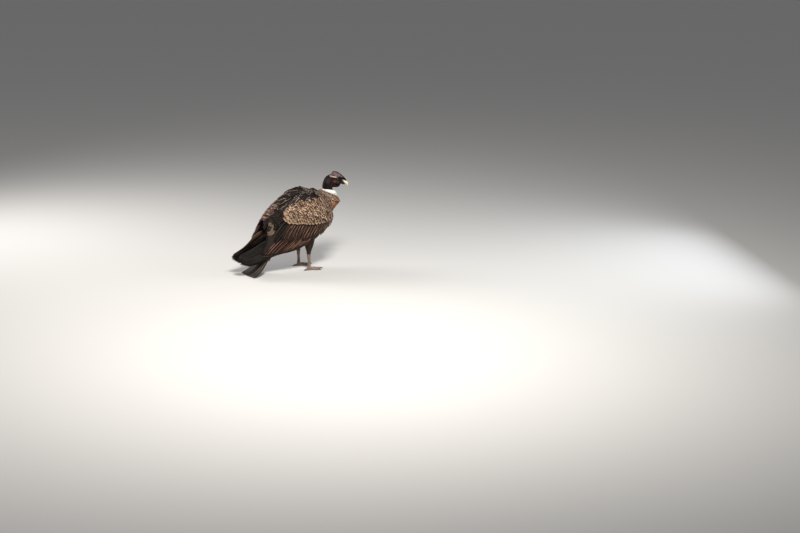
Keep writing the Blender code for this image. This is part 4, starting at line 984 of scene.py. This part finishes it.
def tier_colours(label, side, web, fringe, share, tip_angle):
    """A tier's colours. On the right wing the tertials and the rear greater coverts are painted near black
    as shade, but for two tertials painted about three times lighter than the tier's colours as a highlight.

    The left wing's highest primaries have tan edges as a painted highlight."""
    # Painted shade and light: the right wing's tertials are near black, but for two painted about three
    # times lighter.
    if label == "tertial" and side < 0:
        pale = np.isin(np.arange(len(share)), PAINTED_LIGHT_TERTIALS).astype(float)
        return [mixed(dark, light, pale) for dark, light in zip(TERTIAL_PAINTED_SHADE, TERTIAL_PAINTED_LIGHT)]
    # Painted shade: the right wing's rear greater coverts are darkened towards near black.
    if label == "greater_covert" and side < 0:
        shade = 1 - 0.85 * ramp(share, 0.74, 0.95)[:, None]
        return shade * web, shade * fringe
    # Painted highlight: tan edges on the left wing's highest primaries.
    if label == "primary" and side > 0:
        high = ramp(np.degrees(tip_angle), 34, 60)
        return mixed(web, PRIMARY_PAINTED_HIGHLIGHT[0], high), mixed(fringe, PRIMARY_PAINTED_HIGHLIGHT[1], high)
    return web, fringe


def shoulder_chart(side):
    """The wing's blunt front: a bent sheet from the shell (u 0) over its rim to the arm's end (u 1).

    (1-u)^2 shell(0.07, a) + 2u(1-u) rim(a) + u^2 middle, with the rim 12 mm ahead of the shell's front
    edge and up to 22 mm over it."""
    shell = wing_chart(side)
    front = shell(np.zeros(20), np.radians(np.linspace(-42, 112, 20)))
    middle = front.mean(0) + [0.010, -0.022 * side, -0.004]

    def chart(u, a):
        u, a = np.broadcast_arrays(np.asarray(u, float), np.asarray(a, float))
        start = shell(np.full(a.shape, 0.07), a)
        high = 0.022 * np.clip(np.sin(a), 0, 1)
        rim = shell(np.full(a.shape, 0.0), a) + np.stack([0.012 + 0 * high, 0 * high, high], -1)
        u = u[..., None]
        return (1 - u) ** 2 * start + 2 * u * (1 - u) * rim + u**2 * middle

    return outward(chart, 0.3, 0.3, (0.12, 0.07 * side, 0.50))


def wing_unwrap(root):
    """The wing's shell laid flat: along it, and its angle."""
    return np.stack([0.07 + 0.85 * root[:, 0], 0.24 + root[:, 1] / 4.4], -1)


PATCH_FOOT = ((0.045, 0.185, 0.300, 0.390, 0.420), (-30, -13, 7, 25, 46))
PATCH_TOP = ((0.020, 0.110, 0.200, 0.290, 0.375), (30, 38, 52, 66, 76))
PATCH_ROWS, PATCH_COUNT = 12, 24
SCAPULAR_ROWS, SCAPULAR_COUNT = 5, 17
SCAPULAR_FOOT = ((0, 0.11, 0.20, 0.29, 0.37), (20, 32, 47, 61, 70))
REAR_ROWS, REAR_COUNT = 6, 10
EDGE_ROWS, EDGE_COUNT = 5, 9
SHOULDER_ROWS, SHOULDER_COUNT = (0.96, 0.84, 0.72, 0.60, 0.48), 24
for name, side in SIDES:
    chart = WING[name]
    flight, covert, scapular = [], [], []
    for label, count, roots, tips, half, lift, web, fringe, outline in TIERS:
        share = np.linspace(0, 1, count)
        root, tip = along_lists(roots, share), along_lists(tips, share)
        root[:, 1], tip[:, 1] = np.radians(root[:, 1]), np.radians(tip[:, 1])
        tip[:, 0] += by_chance(count, TIP_SCATTER.get(label, 0.006))
        web, fringe = tier_colours(label, side, web, fringe, share, tip[:, 1])
        made = vanes(chart, root, tip, half, lift, outline, 12, 0.0011, 4.0 * side, 0.02)
        made_row = feather_row(made, root, web, fringe, 0.14, 0.25)
        (covert if label == "median_covert" else flight).append(made_row)
    # the tan patch of lesser coverts, from the median coverts up to the scapulars
    for row in range(PATCH_ROWS):
        count = PATCH_COUNT
        f = staggered(count, row)
        height = row / (PATCH_ROWS - 1)
        tip = along_lists(PATCH_FOOT, f) * (1 - height) + along_lists(PATCH_TOP, f) * height
        tip[:, 0] += by_chance(count, 0.004)
        tip[:, 1] = np.radians(tip[:, 1] + by_chance(count, 1.6))
        long = 0.048 * (1 + by_chance(count, 0.12))
        root = tip - on_shell(long, -13 + by_chance(count, 5))
        root[:, 0] = np.maximum(root[:, 0], 0.002)
        half = 0.0130 * (1 + by_chance(count, 0.12))
        made = vanes(chart, root, tip, half, (-0.008, 0.0085), ROUND_TIP, 7, 0.0008, 5.0 * side, 0.03)
        tan = ramp(f, 1.1, 0.75) * 0.25 + 0.75
        tan = tan * (1 - 0.30 * ramp(height, 0.55, 1.0)) * (1 - 0.35 * ramp(f, 0.25, 0.0))
        tan = np.clip(tan * 0.90 + by_chance(count, 0.40), 0, 1.25)
        web = mixed((0.016, 0.010, 0.008), (0.062, 0.032, 0.020), tan)
        fringe = mixed((0.085, 0.053, 0.040), (0.50, 0.345, 0.240), tan)
        covert.append(feather_row(made, root, web, fringe, 0.2, 0.15))
    # the scapulars along the top: three in five have a pale edge
    for row in range(SCAPULAR_ROWS):
        count = SCAPULAR_COUNT
        f = staggered(count, row)
        along = 0.375 - 0.080 * row - 0.03 * f * (row < 2) + by_chance(count, 0.022)
        along = np.maximum(along, 0.060)
        low = eased(*SCAPULAR_FOOT, np.clip(along, 0, 0.37))
        tip = on_shell(along, low + (124 - low) * f + by_chance(count, 2.0))
        long = np.minimum(0.190, np.maximum(along - 0.002, 0.03))
        root = tip - on_shell(long, -4 + by_chance(count, 3))
        root[:, 0] = np.maximum(root[:, 0], 0.045)
        tip[:, 0] = np.maximum(tip[:, 0], 0.085)
        half = 0.0130 * (1 + by_chance(count, 0.15))
        made = vanes(chart, root, tip, half, (-0.010, 0.0105), LONG_TIP, 14, 0.0009, 8.0 * side, 0.05)
        web = varied((0.0068, 0.0054, 0.0052), count, 0.2)
        edged = chance.random((count, 1)) < 0.6
        fringe = varied(np.where(edged, (0.430, 0.330, 0.285), (0.070, 0.052, 0.045)), count, 0.3)
        scapular.append({"points": made, "root": root, "web": web, "fringe": fringe})
    # the rear coverts between the scapulars and the tertials: tan on the left wing, darkened to near black
    # on the right as painted shade
    for row in range(REAR_ROWS):
        count = REAR_COUNT
        f = staggered(count, row)
        along = 0.530 - 0.034 * row - 0.02 * f + by_chance(count, 0.007)
        tip = on_shell(along, 44 - 3 * row + (68 + 3 * row) * f + by_chance(count, 2.0))
        root = tip - on_shell(0.085 + 0 * f, -5)
        half = 0.0155 * (1 + by_chance(count, 0.12))
        made = vanes(chart, root, tip, half, (-0.010, 0.0075), ROUND_TIP, 8, 0.0009, 5.0 * side, 0.04)
        # Painted shade: on the right wing these coverts are darkened to 0.06 of their colour.
        shade = 1.0 if side > 0 else 0.06
        web, fringe = np.array((0.050, 0.029, 0.024)) * shade, np.array((0.260, 0.175, 0.145)) * shade
        covert.append(feather_row(made, root, web, fringe))
    # rows along the wing's lower edge at the wrist, and down its inner side
    for row in range(EDGE_ROWS):
        count = EDGE_COUNT
        f = staggered(count, row)
        low = -31 - 5.5 * row + 8 * f * (row < 2)
        tip = on_shell(0.028 + 0.20 * f, low + by_chance(count, 1.5))
        root = np.stack([np.maximum(tip[:, 0] - 0.055, 0.001), tip[:, 1] + np.radians(9)], -1)
        lift = (-0.009, 0.0070 - 0.0012 * row)
        made = vanes(chart, root, tip, 0.0135, lift, ROUND_TIP, 7, 0.0008, 5.0 * side, 0.03)
        covert.append(feather_row(made, root, (0.030, 0.018, 0.014), (0.190, 0.125, 0.092)))
        tip = on_shell(0.17 + 0.40 * f, 128 + 9 * row + by_chance(count, 2.0))
        root = tip - on_shell(0.075 + 0 * f, 5)
        made = vanes(chart, root, tip, 0.024, (-0.010, 0.0020), ROUND_TIP, 8, 0.0009, -4.0 * side, 0.03)
        scapular.append(feather_row(made, root, (0.010, 0.0075, 0.0068), (0.045, 0.032, 0.027), 0.2))
    # the blunt front of the shoulder
    sheet = shoulder_chart(side)
    for row, u in enumerate(SHOULDER_ROWS):
        count = SHOULDER_COUNT
        a = np.radians(-40 + 192 * (np.arange(count) + 0.5 * (row % 2)) / (count - 0.5))
        root = np.stack([np.full(count, u), a], -1)
        tip = np.stack([np.full(count, u - 0.50) + by_chance(count, 0.05), a + by_chance(count, 0.04)], -1)
        made = vanes(sheet, root, tip, 0.0120, (-0.006, 0.0060), ROUND_TIP, 7, 0.0008, 5.0 * side, 0.03)
        high = ramp(np.degrees(a), 10, 60)
        web = mixed((0.042, 0.025, 0.018), (0.016, 0.0115, 0.0100), high)
        fringe = mixed((0.300, 0.205, 0.148), (0.190, 0.140, 0.115), high)
        covert.append(feather_row(made, root * [-0.05, 1], web, fringe))

    coat(f"flight_{name}", flight, flight_finish, [f"wing_{name}"], wing_unwrap)
    coat(f"coverts_{name}", covert, covert_finish, [], wing_unwrap)
    coat(f"scapulars_{name}", scapular, scapular_finish, [], wing_unwrap)


# The tail: a fan of twelve stiff black feathers laid down to the ground, with coverts over and under.
TAIL_X = (-0.262, -0.318, -0.372, -0.432, -0.492, -0.548)
TAIL_Z = (0.262, 0.205, 0.132, 0.062, 0.016, -0.0035)
TAIL_ROOT, TAIL_SPREAD = 0.028, 0.112
TAIL_FEATHERS = 6
TAIL_COVERTS = (
    # share of the tail that the tips reach, count, lift: over the fan and then under it
    (0.50, 10, 0.010), (0.42, 11, 0.013), (0.33, 11, 0.016), (0.24, 10, 0.020),
    (0.46, 9, -0.012), (0.36, 9, -0.015), (0.26, 9, -0.019),
)


def tail_chart(share, f):
    """The fan: a line that bends back and down to the floor, spread sideways by f (0.028 + 0.084 share)."""
    share, f = np.broadcast_arrays(np.asarray(share, float), np.asarray(f, float))
    knots = np.linspace(0, 1, len(TAIL_X))
    hollow = 0.006 * (1 - np.abs(f)) * share - 0.010 * f * f * (1 - share)
    return np.stack([
        eased(knots, TAIL_X, share) + 0.4 * hollow,
        f * (TAIL_ROOT + (TAIL_SPREAD - TAIL_ROOT) * share),
        eased(knots, TAIL_Z, share) + 0.9 * hollow,
    ], -1)


def tail_unwrap(root):
    """The fan laid flat: along it, and across it."""
    return np.stack([0.15 + 0.7 * root[:, 0], 0.5 + 0.4 * root[:, 1]], -1)


outward(tail_chart, 0.5, 0.1, (-0.45, 0, 0.0))
tail_finish = plumage("tail_feathers", 0.60, 210.0, 0.4, 0.58, 0.95)
tail_rows = []
for half_tail in (1, -1):
    count = TAIL_FEATHERS
    f = half_tail * np.linspace(0.04, 1, count)
    root, tip = np.stack([0.13 + 0 * f, f * 0.9], -1), np.stack([0.985 - 0.05 * f * f, f], -1)
    made = vanes(tail_chart, root, tip, 0.0245, (0.0, 0.0015), LONG_TIP, 16, 0.0012, -5.0 * half_tail, 0.02)
    made[..., 2] = np.maximum(made[..., 2], 0.0004)
    edges = np.where((np.arange(count) % 2 == 1)[:, None], (0.360, 0.320, 0.295), (0.026, 0.022, 0.020))
    tail_rows.append(feather_row(made, root, (0.0062, 0.0055, 0.0055), edges, 0.1, 0.4))
for row, (share, count, lift) in enumerate(TAIL_COVERTS):
    f = np.linspace(-0.92, 0.92, count)
    tip = np.stack([share - 0.05 * f * f, f], -1)
    root = tip - [0.17, 0]
    half = 0.020 + 0.002 * abs(lift) / 0.01
    made = vanes(tail_chart, root, tip, half, (lift * 0.6, lift), ROUND_TIP, 8, 0.0009, 3.0, 0.03)
    on_map = root + [0, 0.013 * row]
    tail_rows.append(feather_row(made, on_map, (0.0095, 0.0072, 0.0066), (0.075, 0.056, 0.046), 0.2, 0.35))
coat("tail_fan", tail_rows, tail_finish, ["tail"], tail_unwrap)


# The body feathers: small rounded feathers that lie from the neck towards the tail, in offset rows.
# They are orange-brown on the bulging crop, dark brown on the back and belly and blackish on the thighs.
body_finish = plumage("body_feathers", 0.55, 46.0, 0.15, 0.74)


def body_colours(points):
    """Web and fringe colours for places on the body: crop, shoulder, mantle, back and belly."""
    ahead, height = points[:, 0], points[:, 2]
    front = ramp(ahead, 0.19, 0.25) * ramp(-height, -0.62, -0.57) * ramp(height, 0.42, 0.50)
    high = ramp(height, 0.55, 0.64)
    shoulder = ramp(ahead, 0.12, 0.19) * ramp(height, 0.50, 0.56)
    web = mixed((0.016, 0.0090, 0.0068), (0.0100, 0.0080, 0.0075), high)
    fringe = mixed((0.080, 0.048, 0.034), (0.140, 0.105, 0.090), high)
    web = mixed(web, (0.048, 0.031, 0.024), shoulder)
    fringe = mixed(fringe, (0.430, 0.320, 0.240), shoulder)
    return mixed(web, (0.140, 0.056, 0.025), front), mixed(fringe, (0.390, 0.180, 0.086), front)


def laid(chart, root_u, a, long, scatter=0.03):
    """A ring of feathers with roots at root_u and angles a, each about long metres towards smaller u."""
    count = len(a)
    _, by_u, by_v, _ = chart_frame(chart, np.full(count, root_u), a)
    long = long * (1 + by_chance(count, 0.14))
    turn = by_chance(count, scatter) * 4
    back = long * np.cos(turn) / np.linalg.norm(by_u, axis=-1)
    aside = long * np.sin(turn) / np.maximum(np.linalg.norm(by_v, axis=-1), 0.01)
    return np.stack([np.full(count, root_u), a], -1), np.stack([root_u - back, a + aside], -1)


breast, back = [], []
station = 0.03
row = 0
while station < 0.985:
    ring = body_chart(np.full(64, station), full_turn(64))
    girth = np.linalg.norm(np.roll(ring, -1, 0) - ring, axis=1).sum()
    count = int(girth / 0.0140)
    a = round_row(count, row, 0.03)
    root, tip = laid(body_chart, station, a, 0.042)
    tip[:, 0] = np.maximum(tip[:, 0], 0.004)
    place, by_s, _, _ = chart_frame(body_chart, root[:, 0], a)
    half = 0.0115 * (1 + by_chance(count, 0.13))
    made = vanes(body_chart, root, tip, half, (-0.0085, 0.0010), ROUND_TIP, 7, 0.0008, 5.0, 0.05)
    (breast if station > 0.5 else back).append(feather_row(made, root, *body_colours(place)))
    station += 0.0125 / np.linalg.norm(by_s, axis=-1).mean()
    row += 1


def mantle_chart(u, a):
    """The shoulders round the collar: a bent sheet from the body (u 0) to the ruff's foot (u 1).

    (1-u)^2 body(0.93, a) + 2u(1-u) rim(a) + u^2 ruff(a), with the rim just above the body's end."""
    u, a = np.broadcast_arrays(np.asarray(u, float), np.asarray(a, float))
    start = body_chart(np.full(a.shape, 0.93), a)
    rim = body_chart(np.full(a.shape, 1.0), a) + np.array([0.004, 0.0, 0.010])
    collar = np.stack([-0.044 * np.sin(a), 0.044 * np.cos(a), 0.0176 * np.sin(a)], -1)
    end = np.array([0.2400, 0.0, 0.618]) + collar
    u = u[..., None]
    return (1 - u) ** 2 * start + 2 * u * (1 - u) * rim + u**2 * end


def rump_chart(u, a):
    """The vent and rump: a bent sheet from a flat oval in the tail fan (u 0) up to the body (u 1)."""
    u, a = np.broadcast_arrays(np.asarray(u, float), np.asarray(a, float))
    oval = np.stack([0.010 * np.sin(a), 0.046 * np.cos(a), 0.008 * np.sin(a)], -1)
    start = np.array([-0.345, 0.0, 0.165]) + oval
    rim = body_chart(np.full(a.shape, 0.0), a) + np.array([-0.006, 0.0, -0.006])
    end = body_chart(np.full(a.shape, 0.12), a)
    u = u[..., None]
    return (1 - u) ** 2 * start + 2 * u * (1 - u) * rim + u**2 * end


outward(mantle_chart, 0.3, 0.3, (0.20, 0, 0.56))
outward(rump_chart, 0.6, 0.3, (-0.24, 0, 0.28))
SHEETS = (
    # sheet, where its rows start, feathers in a row, their length, lowest tip, place on the map, piece
    (mantle_chart, np.linspace(0.99, 0.20, 7), 34, 0.040, -0.25, 4.0, breast),
    (rump_chart, np.linspace(0.98, 0.16, 12), 24, 0.044, 0.0, 8.0, back),
)
for sheet, starts, count, long, lowest, shift, piece in SHEETS:
    for row, u in enumerate(starts):
        a = round_row(count, row, 0.03)
        root, tip = laid(sheet, u, a, long)
        tip[:, 0] = np.maximum(tip[:, 0], lowest)
        made = vanes(sheet, root, tip, 0.0125, (-0.006, 0.0025), ROUND_TIP, 7, 0.0008, 5.0, 0.05)
        colours = body_colours(sheet(root[:, 0], a))
        piece.append(feather_row(made, root + [0, shift * math.pi], *colours))


def body_unwrap(root):
    """The body laid flat in the map's left three fifths, and the mantle and rump in strips beside it."""
    turn = root[:, 1] / (2 * math.pi)
    piece = np.where(root[:, 1] > 7 * math.pi, 2, np.where(root[:, 1] > 3 * math.pi, 1, 0))
    left, wide = np.array([0.02, 0.64, 0.82])[piece], np.array([0.58, 0.15, 0.15])[piece]
    return np.stack([left + wide * np.clip(root[:, 0], 0, 1), 0.02 + 0.96 * (turn % 1.0)], -1)


coat("breast_feathers", breast, body_finish, [], body_unwrap)
coat("back_feathers", back, body_finish, [], body_unwrap)


def thigh_unwrap(root):
    """The left thigh laid flat in the map's left half and the right one, with 2 added to t, beside it."""
    along = 0.02 + 0.46 * (root[:, 0] % 2.0) / 1.1 + 0.5 * (root[:, 0] >= 2.0)
    return np.stack([along, 0.02 + 0.96 * root[:, 1] / 6.6], -1)


THIGH_ROWS = 28
thigh_rows = []
for name, side in SIDES:
    for row, t in enumerate(np.linspace(0.015, 0.92, THIGH_ROWS)):
        count = int(32 - 15 * t)
        a = round_row(count, row, 0.05)
        long = (0.038 - 0.012 * t) * (1 + by_chance(count, 0.18))
        root = np.stack([t + 0 * a, a], -1)
        tip = np.stack([np.minimum(t + long / 0.185, 1.06), a + by_chance(count, 0.10)], -1)
        half = (0.0100 - 0.0042 * t) * (1 + by_chance(count, 0.15))
        lift = (-0.006, 0.0012 - 0.0005 * t)
        made = vanes(THIGHS[name], root, tip, half, lift, LONG_TIP, 7, 0.0008, 4.0, 0.06)
        on_map = root + [0.0 if side > 0 else 2.0, 0]
        made_row = feather_row(made, on_map, (0.018, 0.0095, 0.0072), (0.060, 0.034, 0.025), 0.25, 0.35)
        thigh_rows.append(made_row)
coat("thigh_feathers", thigh_rows, body_finish, [], thigh_unwrap)


# The ruff: a collar of soft white down round the foot of the neck, fuller in front.
# Its locks grow from a padded ring, bend over outwards and hang to soft points.
RUFF_PLACE = np.array([0.2400, 0.0, 0.630])
RUFF_LEAN = 0.40
PAD_AROUND, PAD_SECTION = 72, 20
LOCK_ROWS = (
    # count, distance from the middle, height over it, length
    (60, 0.0500, -0.014, 0.80), (60, 0.0500, -0.004, 0.95), (56, 0.0480, 0.004, 0.95),
    (52, 0.0450, 0.009, 0.85), (46, 0.0420, 0.012, 0.70), (40, 0.0400, 0.013, 0.45),
)
DOWN_WHITE = (0.8, 0.8, 0.8)
down = Wiring("white_down")
where = down.node("TexCoord").outputs["Object"]
clumps = down.node("TexNoise", {"Vector": where, "Scale": 190.0, "Detail": 4.0}).outputs[0]
threads = down.node("TexNoise", {"Vector": where, "Scale": 1300.0, "Detail": 2.0}).outputs[0]
white = down.mix(down.step(clumps, 0.35, 0.70), (0.66, 0.63, 0.58), (0.86, 0.85, 0.82))
down.bumped(down.math("ADD", clumps, down.math("MULTIPLY", threads, 0.5)), 0.5, 0.0008)
down.surface(colour=white, rough=0.9, gloss=0.15, sheen=0.4)
a, section = grid(full_turn(PAD_AROUND), full_turn(PAD_SECTION))
out = 0.0480 + 0.0100 * np.cos(section)
up = -0.010 + 0.018 * np.sin(section) - RUFF_LEAN * out * np.cos(a)
pad_points = RUFF_PLACE + np.stack([out * np.cos(a), out * np.sin(a), up], -1)
i, j = grid(np.arange(PAD_AROUND), np.arange(PAD_SECTION))
next_i, next_j = (i + 1) % PAD_AROUND * PAD_SECTION, (j + 1) % PAD_SECTION
pad_faces = np.stack([i * PAD_SECTION + j, next_i + j, next_i + next_j, i * PAD_SECTION + next_j], -1)
pad = mesh_piece("ruff_pad", pad_points, pad_faces.reshape(-1, 4).tolist())
pad.data.materials.append(down.material)
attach(pad, "root")

locks = []
for row, (count, start_out, start_up, size) in enumerate(LOCK_ROWS):
    a = round_row(count, row, 0.03)
    outwards = np.stack([np.cos(a), np.sin(a), -RUFF_LEAN * np.cos(a)], -1)[:, None]
    around = np.stack([-np.sin(a), np.cos(a), RUFF_LEAN * np.sin(a)], -1)[:, None]
    long = (size * (0.76 + 0.30 * np.cos(a)) * (1 + by_chance(count, 0.13)))[:, None]
    t = np.linspace(0, 1, 8)[None]
    reach = start_out - 0.004 + 0.024 * long * t**0.9
    fuller = 0.007 * np.clip(np.cos(a), 0, 1)[:, None]
    rise = start_up + fuller + 0.016 * t * long - 0.034 * t**2 * long
    bend = 0.005 * chance.normal(size=(count, 1)) * t**2
    line = RUFF_PLACE + outwards * reach[..., None] + around * bend[..., None]
    line = line + np.array([0, 0, 1.0]) * rise[..., None]
    normal = unit(np.cross(unit(np.gradient(line, axis=1)), np.broadcast_to(around, line.shape)))
    offset = (0.0052 * eased((0, 0.3, 0.7, 1), (0.5, 1.0, 0.85, 0.12), t[0]))[:, None] * VANE_RING[:, 0]
    height = (0.0016 * eased((0, 0.5, 1), (0.8, 1.0, 0.2), t[0]))[:, None] * VANE_RING[:, 1]
    made = line[:, :, None] + unit(around)[:, :, None] * offset[None, ..., None]
    made = made + normal[:, :, None] * height[None, ..., None]
    root = np.stack([a / (2 * math.pi) % 1, np.full(count, row / 6)], -1)
    locks.append({"points": made, "root": root, "web": DOWN_WHITE, "fringe": DOWN_WHITE})


def ruff_unwrap(root):
    """The collar laid flat: round the neck, and up its rows."""
    return np.stack([0.02 + 0.95 * root[:, 0], 0.05 + 0.8 * root[:, 1]], -1)


coat("ruff_locks", locks, down, ["ruff"], ruff_unwrap)


# The stage: a plain pale floor, soft studio light from above, and a camera behind the bird's right side.
FLOOR_REACH = 30
FLOOR_GREY = (0.58, 0.575, 0.565)
corners = [(x * FLOOR_REACH, y * FLOOR_REACH, 0) for x, y in ((-1, -1), (1, -1), (1, 1), (-1, 1))]
floor_mesh = bpy.data.meshes.new("floor")
floor_mesh.from_pydata(corners, [], [(0, 1, 2, 3)])
floor_finish = Wiring("floor")
floor_finish.surface(colour=FLOOR_GREY, rough=0.9, gloss=0.1)
floor_mesh.materials.append(floor_finish.material)
floor = bpy.data.objects.new("floor", floor_mesh)
bpy.context.scene.collection.objects.link(floor)

world = bpy.data.worlds.new("studio")
bpy.context.scene.world = world
world.use_nodes = True
world.node_tree.nodes["Background"].inputs[0].default_value = (0.86, 0.86, 0.88, 1)
world.node_tree.nodes["Background"].inputs[1].default_value = 0.27


def soft_light(name, place, size, power, colour):
    """A square lamp that faces the bird's middle."""
    lamp = bpy.data.lights.new(name, "AREA")
    lamp.shape = "SQUARE"
    lamp.size = size
    lamp.energy = power
    lamp.color = colour
    made = bpy.data.objects.new(name, lamp)
    bpy.context.scene.collection.objects.link(made)
    made.location = Vector(place)
    made.rotation_euler = (Vector(place) - Vector((0.0, 0.0, 0.4))).to_track_quat("Z", "Y").to_euler()


soft_light("key", (-1.2, -3.2, 3.8), 1.0, 310, (1.0, 0.96, 0.90))
soft_light("fill", (3.2, -1.6, 1.6), 2.5, 45, (0.90, 0.95, 1.0))
soft_light("back", (-2.2, 3.0, 2.6), 1.8, 120, (1.0, 0.97, 0.94))

PHOTO_WIDTH, PHOTO_HEIGHT = 800, 533
FEET_PIXEL = (303.9, 267.8)  # where the photo shows the point on the floor between the feet
AZIMUTH, ELEVATION = math.radians(-30), math.radians(14)
DISTANCE, LENS, SENSOR = 13.0, 70.0, 36.0
level = math.cos(ELEVATION)
backwards = Vector((math.sin(AZIMUTH) * level, -math.cos(AZIMUTH) * level, math.sin(ELEVATION)))
camera = bpy.data.cameras.new("camera")
camera.lens = LENS
camera.sensor_width = SENSOR
viewer = bpy.data.objects.new("camera", camera)
bpy.context.scene.collection.objects.link(viewer)
viewer.location = Vector(SHIFT) + backwards * DISTANCE
focal = LENS / SENSOR * PHOTO_WIDTH
yaw = Quaternion((0, 1, 0), math.atan((FEET_PIXEL[0] - PHOTO_WIDTH / 2) / focal))
pitch = Quaternion((1, 0, 0), math.atan((FEET_PIXEL[1] - PHOTO_HEIGHT / 2) / focal))
viewer.rotation_mode = "QUATERNION"
viewer.rotation_quaternion = (-backwards).to_track_quat("-Z", "Y") @ yaw @ pitch
bpy.context.scene.camera = viewer
bpy.context.scene.view_settings.view_transform = "Standard"
